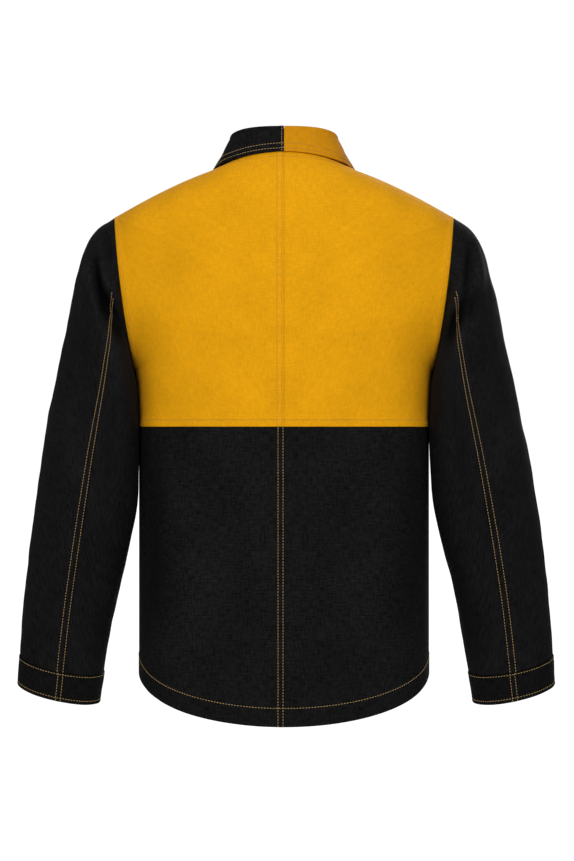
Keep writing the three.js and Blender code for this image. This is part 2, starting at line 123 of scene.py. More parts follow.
class JacketFinish(bpy.types.PropertyGroup):
    """Its cloth, stitching, colours and hang."""

    cloth: length("Cloth", "Thickness of one layer of cloth", 0.0018)
    stitch: length("Stitch", "Length of one stitch with its gap", 0.0039)
    thread: length("Thread", "Radius of the sewing thread", 0.0004)
    needle_gap: length("Needle gap", "Distance between the two rows of a felled seam", 0.0066)
    hem_depth: length("Hem depth", "Hem edge to its row of stitches", 0.025)
    hang_left: length("Left hang", "How much further out the left cuff hangs", 0.0025)
    hang_right: length("Right hang", "How much further out the right cuff hangs", 0.009)
    twill: length("Twill", "Pitch of the cloth's diagonal ribs", 0.0011)
    yellow: tint("Yellow", "The yokes", (0.75, 0.335, 0.003))
    # The collar's right half is coloured darker than the yokes.
    collar_yellow: tint("Collar yellow", "The collar's right half, a little deeper", (0.59, 0.245, 0.003))
    black: tint("Black", "Body, sleeves, cuffs and the left half of the collar", (0.0056, 0.0056, 0.006))
    gold: tint("Thread on black", "Sewing thread on the black cloth", (0.46, 0.3, 0.095))
    cuff_black: tint("Cuff black", "The cuffs, a little deeper", (0.0036, 0.0036, 0.0036))
    # The same gold thread, made darker where it lies on the yellow cloth: painted shade.
    tan: tint("Thread on yellow", "Sewing thread on the yellow cloth", (0.38, 0.17, 0.012))
    nickel: tint("Nickel", "Press studs", (0.4, 0.38, 0.34))
    stud_sides: IntProperty(name="Stud sides", description="Sides round a press stud", default=40, min=12)


# ---- Small tools -------------------------------------------------------------------------


def mix(a, b, t):
    return a + (b - a) * t


def smooth(x, low, high):
    t = np.clip((np.asarray(x, float) - low) / (high - low), 0, 1)
    return t * t * (3 - 2 * t)


def unit(v):
    return v / np.maximum(np.linalg.norm(v, axis=-1, keepdims=True), 1e-9)


def xyz(x, y, z):
    return np.stack(np.broadcast_arrays(*(np.asarray(c, float) for c in (x, y, z))), axis=-1)


def signed_power(a, p):
    return np.sign(a) * np.abs(a) ** p


def through(values, at):
    """A smooth curve through evenly spaced values."""
    values = np.asarray(values, float)
    slopes = np.gradient(values)
    at = np.asarray(at, float) * (len(values) - 1)
    i = np.clip(np.floor(at).astype(int), 0, len(values) - 2)
    t = at - i
    a, b, ma, mb = values[i], values[i + 1], slopes[i], slopes[i + 1]
    return (
        (2 * t**3 - 3 * t**2 + 1) * a
        + (t**3 - 2 * t**2 + t) * ma
        + (3 * t**2 - 2 * t**3) * b
        + (t**3 - t**2) * mb
    )


def interpolated(values, line, at):
    """Each coordinate of values, measured out at places along a line."""
    return np.stack([np.interp(at, line, values[:, k]) for k in range(3)], -1)


def ripple(p, wavelength, seed):
    """Gentle unevenness, the same on every run, from -1 to 1."""
    rng = np.random.default_rng(seed)
    total = np.zeros(p.shape[:-1])
    for _ in range(7):
        way = unit(rng.normal(size=3)) * 2 * math.pi / wavelength * rng.uniform(0.7, 1.4)
        total += np.sin(p @ way + rng.uniform(0, 2 * math.pi))
    return total / 4


# ---- The jacket's shape ------------------------------------------------------------------
# Worked out in millimetres with z = 0 at the collar's edge at the centre back, the side seams
# at y = 0 and the wearer's right towards +x. Left-hand pieces are mirrored.

SLEEVE_SHARES = {  # shoulder to cuff, evenly numbered: drop and spread of its top and underside
    "top_drop": (0, 0.027, 0.07, 0.134, 0.23, 0.334, 0.47, 0.606, 0.758, 0.886, 1),
    "top_out": (0, 0.19, 0.315, 0.405, 0.5, 0.6, 0.72, 0.82, 0.91, 0.97, 1),
    "under_drop": (0, 0.056, 0.113, 0.169, 0.236, 0.304, 0.4, 0.518, 0.687, 0.838, 1),
    "under_out": (0, 0.02, 0, -0.02, -0.02, -0.02, 0, 0.18, 0.48, 0.74, 1),
    "half_depth": (72, 75, 77, 78, 77, 75, 71, 67, 61, 54, 47),
    "seam": (0.42, 0.475, 0.535, 0.54, 0.536, 0.526, 0.511, 0.518, 0.53, 0.536, 0.542),
}

# Creases: from and to (x, z), width, height (a valley is negative), and the side they are on.
BACK_CREASES = (
    # left arm
    ((-254, -146), (-237, -220), 6.5, -15),
    ((-264, -138), (-248, -214), 6, 7),
    ((-246, -148), (-232, -192), 5, 5),
    ((-236, -194), (-212, -252), 10, -16),
    ((-230, -178), (-205, -226), 9, 5),
    ((-243, -226), (-222, -282), 10, 4),
    ((-241, -108), (-232, -150), 8, -6),
    ((-252, -98), (-243, -136), 8, 4),
    ((-272, -150), (-266, -230), 6, 2.2),
    ((-292, -300), (-280, -450), 12, 2.4),
    ((-226, -330), (-234, -470), 12, -3.5),
    ((-262, -470), (-270, -590), 9, -1.8),
    ((-318, -520), (-306, -640), 11, -2),
    ((-258, -600), (-276, -690), 10, 1.8),
    # right arm
    ((251, -116), (242, -190), 6, -8),
    ((266, -124), (257, -204), 6, 6),
    ((241, -200), (213, -258), 9, -16),
    ((236, -182), (208, -232), 9, 4.5),
    ((244, -222), (226, -272), 10, 4.5),
    ((258, -192), (247, -226), 6, -7),
    ((236, -160), (226, -200), 8, 3),
    ((274, -150), (276, -220), 5, -2),
    ((300, -290), (290, -440), 12, 2.4),
    ((228, -330), (240, -470), 12, -3.5),
    ((270, -470), (280, -590), 9, -1.8),
    ((326, -520), (316, -640), 11, -2),
    ((266, -600), (286, -690), 10, 1.8),
    # body
    ((-206, -214), (-156, -268), 20, -2.6),
    ((206, -216), (158, -274), 20, -2.6),
    ((-186, -300), (-140, -356), 20, -1.8),
    ((186, -286), (146, -350), 20, -1.8),
    ((-150, -66), (-60, -112), 26, -1.6),
    ((150, -66), (66, -112), 26, -1.6),
    ((-178, -410), (-172, -650), 16, -3.4),
    ((178, -400), (173, -650), 16, -2.6),
    ((-120, -470), (-128, -700), 24, 2),
    ((124, -450), (120, -690), 24, 2),
    ((-60, -520), (-66, -740), 22, -1.4),
    ((60, -500), (58, -740), 22, -1.2),
)
FRONT_CREASES = (
    ((-206, -200), (-150, -300), 18, -3),
    ((206, -200), (150, -300), 18, -3),
    ((-90, -300), (-70, -640), 26, 2),
    ((84, -260), (76, -640), 26, 2),
)
SLEEVE_FRONT_CREASES = (
    ((-262, -330), (-206, -400), 12, -5),
    ((262, -330), (206, -400), 12, -5),
    ((-300, -430), (-222, -470), 12, -4),
    ((300, -430), (222, -470), 12, -4),
    ((-310, -500), (-230, -520), 11, -3),
    ((310, -500), (230, -520), 11, -3),
)


def crease_height(p, creases):
    """How far the creases lift the cloth at each point."""
    total = np.zeros(p.shape[:-1])
    flat = p[..., [0, 2]]
    for start, end, width, height in creases:
        start, end = np.array(start, float), np.array(end, float)
        along = end - start
        t = np.clip((flat - start) @ along / (along @ along), 0, 1)
        distance = np.linalg.norm(flat - (start + t[..., None] * along), axis=-1)
        taper = np.sin(np.pi * mix(0.12, 0.95, t)) ** 0.7
        total += height * taper * np.exp(-((distance / width) ** 2))
    return total


class Pattern:
    """The jacket's measurements, and the surfaces that they give."""

    ARMHOLE_HALF = 72.0  # half its depth, front to back
    SHOULDER_BOW = 1.3
    UNDER_LENGTH, UNDER_SPREAD = 444.0, 46.0  # underarm to cuff, down and out
    PRESS_IN, PRESS_BACK = 5.4, 26.0  # how the sleeve lies against the side
    ARM_FORWARD, CUFF_TILT = 25.0, 0.22
    SLEEVE_CLEAR = np.array((0.35, 0, -0.05))

    def __init__(self, s):
        mm = 1000.0
        self.hem, self.hem_rise, self.yoke = s.back_length * mm, s.hem_rise * mm, s.back_yoke * mm
        self.front_yoke, self.lap = s.front_yoke * mm, s.lap * mm
        self.side_half, self.shoulder_half = s.side_half * mm, s.shoulder_half * mm
        self.back_depth, self.front_depth = s.back_depth * mm, s.front_depth * mm
        self.drop, self.spread = s.sleeve_drop * mm, s.sleeve_spread * mm
        self.side_hem = self.hem - self.hem_rise
        self.ease, self.underarm_drop, self.shoulder_drop = 5.0, 290.0, 86.0
        self.neck = np.array((76.0, 4.0, -18.0))
        self.tip = np.array((self.shoulder_half, 0.0, -self.shoulder_drop))
        self.underarm = np.array((self.side_half + self.ease, 0.0, -self.underarm_drop))
        self.swing, self.swing_depth = 130.0, 102.0
        self.swing_out, self.bulge = 0.0, 3.4
        span = self.underarm_drop - self.shoulder_drop
        level = (self.underarm_drop + self.shoulder_drop - 2 * self.front_yoke) / span
        self.front_ring = 1 + math.acos(level) / math.pi
        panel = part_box("back_panel_left")[1]
        seam_gap = 0.2
        self.shift = np.array((0.0, panel.y * mm + seam_gap, panel.z * mm + seam_gap + self.yoke))

    def placed(self, p):
        """From the pattern's millimetres to the frame's metres."""
        return (p + self.shift) / 1000.0

    def armhole(self, turn, face):
        middle, half = (self.tip + self.underarm) / 2, (self.tip - self.underarm) / 2
        p = middle + half * np.cos(turn)[..., None]
        bulge = self.bulge * np.sin(turn) ** 2 if face < 0 else 0
        return p + xyz(bulge, face * self.ARMHOLE_HALF * np.sin(turn), 0)

    def edge(self, ring, face):
        """The outer edge of back (face -1) or front (1): ring runs 0 at the neck, 1 at the shoulder
        tip, 2 at the underarm, 3 level with the back yoke's seam and 4 at the hem."""
        t = np.clip(ring, 0, 1)
        shoulder = mix(self.neck, self.tip, t[..., None])
        shoulder[..., 2] = mix(self.neck[2], self.tip[2], t**self.SHOULDER_BOW)
        arm = self.armhole(np.pi * np.clip(ring - 1, 0, 1), face)
        side = xyz(
            self.side_half + self.ease * np.clip(3 - ring, 0, 1) ** 1.5,
            0,
            np.interp(ring, (2, 3, 4), (-self.underarm_drop, -self.yoke, -self.side_hem)),
        )
        low = (ring > 2)[..., None]
        return np.where(low, side, np.where((ring > 1)[..., None], arm, shoulder))

    def back_centre(self, ring):
        stops = (6.0, -self.shoulder_drop - 44, -self.underarm_drop, -self.yoke, -self.hem)
        z = np.interp(ring, range(5), stops)
        return xyz(0, -mix(62.0, self.back_depth, 1 - np.exp(-(6.0 - z) / 60)), z)

    def front_centre(self, ring):
        middle = mix(-88.0, -self.front_yoke, 0.48)
        z = np.interp(ring, (0, 1, self.front_ring), (-88.0, middle, -self.front_yoke))
        slope = np.clip((z + self.front_yoke) / (self.front_yoke - 88.0), 0, 1)
        return xyz(0, mix(self.front_depth, 68.0, slope**1.5), z)

    @staticmethod
    def girth(edge, centre, angle, power, across, fall=2.0):
        a = across * angle
        wide = signed_power(np.sin(a), power) / np.sin(angle) ** power
        deep = np.maximum(0, (np.cos(a) - np.cos(angle)) / (1 - np.cos(angle))) ** power
        drop = np.maximum(0, np.cos(across * math.pi / 2)) ** fall
        return xyz(
            edge[..., 0] * wide,
            mix(edge[..., 1], centre[..., 1], deep),
            mix(edge[..., 2], centre[..., 2], drop),
        )

    @staticmethod
    def roundness(opened):
        """The angle and power of a girth: a full curve, or flatter where an armhole opens."""
        return math.pi / 2 * (1 - 0.31 * opened), 0.83 + 0.17 * opened

    def wrapped(self, edge, centre, ring, across):
        opened = np.where((ring > 1) & (ring < 2), np.sin((ring - 1) * math.pi), 0)
        return self.girth(edge, centre, *self.roundness(opened), across)

    def back(self, ring, across):
        ring, across = np.broadcast_arrays(np.asarray(ring, float), np.asarray(across, float))
        edge, centre = self.edge(ring, -1), self.back_centre(ring)
        p = self.wrapped(edge, centre, ring, across)
        arch = np.sqrt(np.maximum(0, 1 - (p[..., 0] / edge[..., 0]) ** 2))
        p[..., 2] = np.where(ring > 3, mix(edge[..., 2], centre[..., 2], arch), p[..., 2])
        return p

    def front_plan(self, x, edge):
        fall = (self.front_depth - self.swing_depth) / self.swing**2
        reach = edge[..., 0] - self.swing
        t = 1 - np.sqrt(np.clip((edge[..., 0] - x) / reach, 0, 1))
        corner = self.swing_depth - 2 * fall * self.swing * reach
        side = (1 - t) ** 2 * self.swing_depth + 2 * t * (1 - t) * corner + t * t * edge[..., 1]
        return np.where(np.abs(x) <= self.swing, self.front_depth - fall * x * x, side)

    def front(self, ring, across):
        ring, across = np.broadcast_arrays(np.asarray(ring, float), np.asarray(across, float))
        edge = self.edge(ring, 1)
        p = self.wrapped(edge, self.front_centre(ring), ring, across)
        settled = smooth(ring, 0.6, self.front_ring)
        p[..., 1] = mix(p[..., 1], self.front_plan(p[..., 0], edge), settled)
        return p

    def front_across(self, x):
        """Where across the front yoke's lower edge a distance from the centre falls."""
        angle, power = self.roundness(math.sin((self.front_ring - 1) * math.pi))
        edge = self.edge(np.array(self.front_ring), 1)[0]
        wide = signed_power(np.asarray(x, float) / edge, 1 / power) * math.sin(angle)
        return np.arcsin(np.clip(wide, -1, 1)) / angle

    def outward(self, p):
        """The way out of the body at a point, roughly."""
        up = np.maximum(0, p[..., 2] + self.front_yoke) / 110.0**2
        return unit(xyz(p[..., 0] / 200.0**2, p[..., 1] / 130.0**2, up))

    def sleeve(self, along, turn, grow=0.0):
        """A point on the right sleeve: along runs shoulder to cuff, turn from its top round the
        back. Also returns the way its cloth faces."""
        along, turn = np.broadcast_arrays(np.asarray(along, float), np.asarray(turn, float))
        share = {name: through(values, along) for name, values in SLEEVE_SHARES.items()}
        top = xyz(
            self.shoulder_half + self.spread * share["top_out"],
            0,
            -self.shoulder_drop - self.drop * share["top_drop"],
        )
        under = xyz(
            self.underarm[0] + self.UNDER_SPREAD * share["under_out"],
            0,
            -self.underarm_drop - self.UNDER_LENGTH * share["under_drop"],
        )
        lean = smooth(share["top_drop"], 0.3, 1.0)
        against = smooth(along, 0.0, 0.1) * (1 - smooth(along, 0.62, 0.85))
        middle = (top + under) / 2
        middle[..., 0] -= self.PRESS_IN / 2 * against
        under[..., 0] -= self.PRESS_IN * against
        half = (top - under) / 2
        middle[..., 0] += self.swing_out * smooth(share["top_drop"], 0.1, 0.8)
        middle[..., 1] = self.ARM_FORWARD * lean
        tilt = self.CUFF_TILT * lean
        deep = xyz(0, np.cos(tilt), np.sin(tilt)) * share["half_depth"][..., None]
        radial = half * np.cos(turn)[..., None] - deep * np.sin(turn)[..., None]
        radial[..., 1] -= self.PRESS_BACK * against * (1 - np.cos(turn)) / 2
        facing = unit(radial)
        bulge = self.bulge * np.maximum(0, np.sin(turn)) ** 2 * (1 - smooth(share["top_drop"], 0, 0.12))
        radial = radial + xyz(bulge, 0, 0)
        return middle + radial + facing * grow + self.SLEEVE_CLEAR, facing

    def sleeve_seam(self, along):
        return np.arccos(1 - 2 * through(SLEEVE_SHARES["seam"], along))

    def neck_seam(self, round_):
        back = self.back(np.zeros_like(round_), np.minimum(round_, 1))
        front = self.front(np.zeros_like(round_), 2 - np.maximum(round_, 1))
        return np.where((round_ <= 1)[..., None], back, front)

    def fold_line(self, round_):
        edge = np.broadcast_to(np.array((68.0, 3.0, 20.0)), round_.shape + (3,))
        quarter = np.full(round_.shape, math.pi / 2)
        back = self.girth(edge, xyz(0, -55.0, 31.0), quarter, 0.83, np.minimum(round_, 1), 1.0)
        front = self.girth(edge, xyz(0, 74.0, -64.0), quarter, 0.83, 2 - np.maximum(round_, 1))
        return np.where((round_ <= 1)[..., None], back, front)

    def leaf_edge(self, round_):
        past = np.clip((round_ - 1) / 0.8, 0, 1)
        back = self.back(mix(0.07, 0.1, np.minimum(round_, 1)), np.minimum(round_, 1))
        front = self.front(0.1 + 0.7 * past**1.3, mix(1, 0.154, past))
        p = np.where((round_ <= 1)[..., None], back, front)
        near = np.exp(-(((round_ - 1.0) / 0.35) ** 2))
        p = p + self.outward(p) * 3.4
        return p + xyz(-4.0 * near, 0 * near, 1.2 * near)


# ---- Cloth -------------------------------------------------------------------------------


def dense(span, fine=12.0, fine_step=1.2, step=5.0):
    """Places from 0 to 1 over a span in millimetres, close together near its two ends."""
    fine = min(fine, span / 3)
    ends = np.arange(0, fine, fine_step)
    inside = np.linspace(fine, span - fine, max(3, int(round((span - 2 * fine) / step)) + 1))
    return np.concatenate((ends, inside, (span - ends)[::-1])) / span


def fit(values, place, axis, steps):
    """Stretches even places from 0 to 1 so that they land at even distances along the cloth."""
    probe = np.linspace(0, 1, 61)
    lines = []
    for other in np.linspace(0.15, 0.85, 5):
        p = place(probe, np.full(61, other)) if axis == 0 else place(np.full(61, other), probe)
        gaps = np.linalg.norm(np.diff(p, axis=0), axis=-1)
        lines.append(np.concatenate(([0], np.cumsum(gaps))))
    line = np.mean(lines, axis=0)
    wanted = dense(line[-1], **steps)
    return np.interp(wanted * line[-1], line, values)


class Panel:
    """A piece of cloth as a grid of points, down its rows and across its columns."""

    def __init__(self, place, facing, drape=None, steps=None, coarse=None):
        probe = np.linspace(0, 1, 61)
        steps = dict(steps or {})
        us = fit(probe, place, 0, {**steps, **(coarse or {})})
        vs = fit(probe, place, 1, steps)
        grid = place(us[:, None], vs[None, :])
        hint = facing(grid)
        self.height = np.zeros(grid.shape[:2]) if drape is None else drape(grid)
        grid = grid + hint * self.height[..., None]
        self.grid, self.hint = grid, hint
        self.face_out()
        rows = np.linalg.norm(np.diff(grid, axis=0), axis=-1)
        columns = np.linalg.norm(np.diff(grid, axis=1), axis=-1)
        zero_row, zero_column = np.zeros((1, grid.shape[1])), np.zeros((grid.shape[0], 1))
        self.down = np.concatenate((zero_row, np.cumsum(rows, axis=0)))
        self.across = np.concatenate((zero_column, np.cumsum(columns, axis=1)), axis=1)
        self.relief, self.lining = np.zeros(grid.shape[:2]), np.zeros(grid.shape[:2])
        self.closed = False

    def face_out(self):
        """Finds which way the cloth faces at each point."""
        down, across = np.gradient(self.grid, axis=0), np.gradient(self.grid, axis=1)
        normal = unit(np.cross(down, across))
        flip = np.sign((normal * self.hint).sum(-1, keepdims=True))
        self.normal = normal * np.where(flip == 0, 1, flip)

    def settle(self, passes=40):
        """Eases hard bends out of the cloth, away from its edges."""
        for _ in range(passes):
            move = np.zeros_like(self.grid)
            for axis, line in ((0, self.down), (1, self.across)):
                gaps = np.moveaxis(np.diff(line, axis=axis), axis, 0)[:, 1:-1, None]
                p, pull = np.moveaxis(self.grid, axis, 0), np.moveaxis(move, axis, 0)
                g0, g1 = gaps[:-1], gaps[1:]
                before, after, here = p[:-2, 1:-1], p[2:, 1:-1], p[1:-1, 1:-1]
                pull[1:-1, 1:-1] += (before * g1 + after * g0) / np.maximum(g0 + g1, 1e-6) - here
            along = (move * self.hint).sum(-1, keepdims=True) * self.hint
            edge = np.minimum.reduce([self.distance(side) for side in ("top", "bottom", "start", "end")])
            self.grid = self.grid + 0.22 * along * smooth(edge, 2, 14)[..., None]
        self.face_out()

    def distance(self, side):
        """How far each point lies from one of the four edges."""
        if side == "top":
            return self.down
        if side == "bottom":
            return self.down[-1:] - self.down
        if side == "start":
            return self.across
        return self.across[:, -1:] - self.across

    def fold(self, side, depth, height=0.9, groove=(), span=(0, 1)):
        """Raises a turned and stitched edge, with a groove under each row of stitches."""
        d = self.distance(side)
        rise = height * (1 - smooth(d, depth, depth + 2.2))
        for row in groove:
            rise -= 0.45 * np.exp(-(((d - row) / 0.9) ** 2))
        count = d.shape[1] if side in ("top", "bottom") else d.shape[0]
        place = np.linspace(0, 1, count)
        keep = (smooth(place, span[0] - 0.02, span[0]) if span[0] > 0 else 1.0) * (
            1 - smooth(place, span[1], span[1] + 0.02) if span[1] < 1 else 1.0
        )
        keep = np.broadcast_to(keep, (count,))
        self.relief += rise * (keep[None, :] if side in ("top", "bottom") else keep[:, None])

    def turn_up(self, side, depth, thickness=1.4):
        """Thickens the inside of an edge, where a hem or facing lies."""
        self.lining += thickness * (1 - smooth(self.distance(side), depth, depth + 1.5))

    def surface(self):
        """The outer face, with its relief and rounded edges."""
        rounding = np.zeros_like(self.relief)
        for side in ("top", "bottom") if self.closed else ("top", "bottom", "start", "end"):
            rounding = np.maximum(rounding, 0.55 * np.clip(1 - self.distance(side) / 1.1, 0, 1) ** 2)
        return self.grid + self.normal * (self.relief - rounding)[..., None]

    def row(self, side, offset, span=(0.0, 1.0)):
        """The line at an offset from one side: its points and normals."""
        grids = (self.distance(side), self.surface(), self.normal)
        if side in ("top", "bottom"):
            grids = [np.moveaxis(g, 1, 0) for g in grids]
        last = len(grids[0]) - 1
        points, normals = [], []
        for lane in range(int(span[0] * last), int(round(span[1] * last)) + 1):
            line, p, n = (g[lane] for g in grids)
            if line[0] > line[-1]:
                line, p, n = line[::-1], p[::-1], n[::-1]
            points.append(interpolated(p, line, offset))
            normals.append(interpolated(n, line, offset))
        return np.array(points), unit(np.array(normals))

    def felled(self, near, margin, gap):
        """A seam with two rows of stitches along the first edge; returns the rows."""
        self.fold("start", margin + gap, 0.8, (near, near + gap))
        return [("start", near), ("start", near + gap)]

    def hem(self, depth):
        """Turns up and stitches the lower edge; returns its row."""
        self.fold("bottom", depth + 1, 0.5, (depth,))
        self.turn_up("bottom", depth + 2)
        return ("bottom", depth)

    def trimmed(self, surface, gap=0.16):
        """Draws the edges in a little, so that neighbouring pieces stay clear."""
        p = surface.copy()
        for axis in (0,) if self.closed else (1, 0):
            lines = np.moveaxis(p, axis, 0)
            for edge, inner in ((0, 1), (-1, -2)):
                lines[edge] += unit(lines[inner] - lines[edge]) * gap
        return p

    def make_room(self):
        """Thins the cloth at its first edge, for its neighbour's seam allowance to lie under."""
        self.lining -= 1.05 * (1 - smooth(self.distance("start"), 2.6, 3.4))

    def allowance(self, side, near, far):
        """The strip of seam allowance that runs on under the neighbouring piece."""
        if side == "start":
            edge, inner, deep = self.grid[:, 0], self.grid[:, 1], self.hint[:, 0]
        else:
            edge, inner, deep = self.grid[0], self.grid[1], self.hint[0]
        away, root, reach = unit(edge - inner), 1.0, 1.7 if side == "start" else 2.6
        corners = ((-root, near), (reach, far - 0.5), (reach, far), (-root, far))
        ring = [edge + away * a - deep * d for a, d in corners]
        points = np.stack(ring, 1).reshape(-1, 3)
        last = 4 * (len(edge) - 1)
        base = np.arange(0, last, 4)
        around = [(k, (k + 1) % 4) for k in range(4)]
        faces = [np.stack((base + j, base + k, base + 4 + k, base + 4 + j), -1) for j, k in around]
        faces.append(np.array(((3, 2, 1, 0), (last, last + 1, last + 2, last + 3))))
        return points, np.concatenate(faces)

    def solid(self, thickness, allowance=None):
        """The closed piece: its points, faces and flat coordinates."""
        outer = self.trimmed(self.surface())
        inner = self.trimmed(self.grid) - self.hint * (thickness + self.lining)[..., None]
        rows, columns = outer.shape[:2]
        count = rows * columns
        points = np.concatenate((outer.reshape(-1, 3), inner.reshape(-1, 3)))
        index = np.arange(count).reshape(rows, columns)
        a, b, c, d = index[:-1, :-1], index[:-1, 1:], index[1:, 1:], index[1:, :-1]
        faces = [np.stack((a, b, c, d), -1).reshape(-1, 4)]
        faces.append(np.stack((a, d, c, b), -1).reshape(-1, 4) + count)
        border = np.concatenate((index[0, :-1], index[:-1, -1], index[-1, :0:-1], index[:0:-1, 0]))
        after = np.roll(border, -1)
        faces.append(np.stack((border, border + count, after + count, after), -1))
        faces = np.concatenate(faces)
        p = points[faces[:, 0]]
        normal = np.cross(points[faces[:, 1]] - p, points[faces[:, 2]] - p)
        if (p * normal).sum() < 0:
            faces = faces[:, ::-1]
        uv = np.stack((self.across, self.down), -1).reshape(-1, 2) / 1000.0
        uv = np.concatenate((uv, uv))
        if allowance:
            extra, extra_faces = self.allowance(*allowance)
            corner = extra[extra_faces[:, 0]]
            normal = np.cross(extra[extra_faces[:, 1]] - corner, extra[extra_faces[:, 2]] - corner)
            if (corner * normal).sum() < 0:
                extra_faces = extra_faces[:, ::-1]
            faces = np.concatenate((faces, extra_faces + len(points)))
            points = np.concatenate((points, extra))
            uv = np.concatenate((uv, extra[:, [0, 2]] / 1000.0))
        return points, faces, uv

    def flat_size(self):
        """Width, length and area of the cloth laid flat, in metres."""
        one, other = self.grid[1:, 1:] - self.grid[:-1, :-1], self.grid[1:, :-1] - self.grid[:-1, 1:]
        area = np.linalg.norm(np.cross(one, other), axis=-1).sum() / 2 / 1e6
        width, tall = self.across[:, -1].max() / 1000, self.down[-1].max() / 1000
        return width, tall, min(area, width * tall)


def mesh_object(name, points, faces, material, uv=None, sharp=45):
    mesh = bpy.data.meshes.new(name)
    mesh.from_pydata(np.asarray(points).tolist(), [], [list(map(int, face)) for face in faces])
    if uv is not None:
        layer = mesh.uv_layers.new(name="cloth")
        loops = np.empty(len(mesh.loops), np.int32)
        mesh.loops.foreach_get("vertex_index", loops)
        layer.data.foreach_set("uv", uv[loops].astype(np.float32).ravel())
    mesh.polygons.foreach_set("use_smooth", np.ones(len(mesh.polygons), bool))
    if sharp:
        mesh.set_sharp_from_angle(angle=math.radians(sharp))
    mesh.materials.append(material)
    mesh.validate()
    piece = bpy.data.objects.new(name, mesh)
    bpy.context.scene.collection.objects.link(piece)
    return piece


def mirrored(points, side):
    return points * np.array((side, 1, 1))


def sew(lines, finish):
    """Stitches along lines of (points, normals): small arched threads, as points and faces."""
    pitch, radius = finish.stitch * 1000, finish.thread * 1000
    rings = ((-0.30, 0.75, -0.1), (-0.16, 1.0, 0.3), (0.16, 1.0, 0.3), (0.30, 0.75, -0.1))
    angles = np.arange(5) * 2 * math.pi / 5
    template = [(-0.36, 0, -0.45)]
    for along, wide, high in rings:
        template += [(along, wide * math.cos(a), wide * math.sin(a) + high) for a in angles]
    template.append((0.36, 0, -0.45))
    template = np.array(template) * np.array((pitch, radius, radius))
    faces = [(0, 1 + (k + 1) % 5, 1 + k, 1 + k) for k in range(5)]
    for r in range(3):
        base = 1 + 5 * r
        for k in range(5):
            after = base + (k + 1) % 5
            faces.append((base + k, after, after + 5, base + 5 + k))
    faces += [(21, 16 + k, 16 + (k + 1) % 5, 16 + (k + 1) % 5) for k in range(5)]
    faces = np.array(faces)
    all_points, all_faces, used = [], [], 0
    for points, normals in lines:
        gaps = np.linalg.norm(np.diff(points, axis=0), axis=-1)
        line = np.concatenate(([0], np.cumsum(gaps)))
        count = max(1, int(line[-1] / pitch))
        at = (np.arange(count) + 0.5) * line[-1] / count
        centre = interpolated(points, line, at)
        ahead, behind = interpolated(points, line, at + 1), interpolated(points, line, at - 1)
        normal = unit(interpolated(normals, line, at))
        along = unit(ahead - behind)
        beside = unit(np.cross(normal, along))
        made = (
            centre[:, None]
            + template[None, :, :1] * along[:, None]
            + template[None, :, 1:2] * beside[:, None]
            + template[None, :, 2:3] * normal[:, None]
        )
        offsets = used + np.arange(count)[:, None, None] * len(template)
        all_points.append(made.reshape(-1, 3))
        all_faces.append((faces[None] + offsets).reshape(-1, 4))
        used += count * len(template)
    return np.concatenate(all_points), np.concatenate(all_faces)


def clean_faces(faces):
    """Four-cornered faces with a doubled corner become triangles."""
    return [tuple(dict.fromkeys(face)) for face in np.asarray(faces).tolist()]


def lay_cloth(name, node, panel, side, material, body, blend=None, rows=(), allowance=None):
    """Makes a cloth piece and its stitching; fixes both to their body, or with a blend bakes their
    placement.
    """
    sizes, finish = bpy.context.scene.jacket_sizes, bpy.context.scene.jacket_finish
    pattern = Pattern(sizes)
    points, faces, uv = panel.solid(finish.cloth * 1000, allowance)
    points = pattern.placed(mirrored(points, side))
    if side < 0:
        faces = faces[:, ::-1]
    piece = mesh_object(name, points, faces, cloth_material(material), uv)
    # The crease heights go on the piece as its fold attribute, which paints shade and highlight into its
    # colour.
    folds = np.zeros(len(points), np.float32)
    folds[: panel.height.size] = panel.height.ravel()
    piece.data.attributes.new("fold", "FLOAT", "POINT").data.foreach_set("value", folds)
    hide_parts(node)
    pieces = [piece]
    if rows:
        lines = [panel.row(*row) for row in rows]
        thread, thread_faces = sew(lines, finish)
        thread = pattern.placed(mirrored(thread, side))
        if side < 0:
            thread_faces = thread_faces[:, ::-1]
        look = thread_material(material)
        pieces.append(mesh_object(f"{name}_stitching", thread, clean_faces(thread_faces), look, sharp=0))
    for part in pieces:
        tie(part, body, blend)
    width, tall, area = panel.flat_size()
    return piece


def tie(piece, body, blend=None):
    """Fixes a piece to a body; given a blend, it only bakes the piece's placement into its points."""
    if blend is None:
        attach(piece, body)
        return
    start, end = blend
    tuple(start)
    tuple(end)
    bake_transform(piece)


# ---- Materials ---------------------------------------------------------------------------


def group_socket(group, name, kind, way, value=None):
    socket = group.interface.new_socket(name=name, in_out=way, socket_type=kind)
    if value is not None:
        socket.default_value = value
    return socket


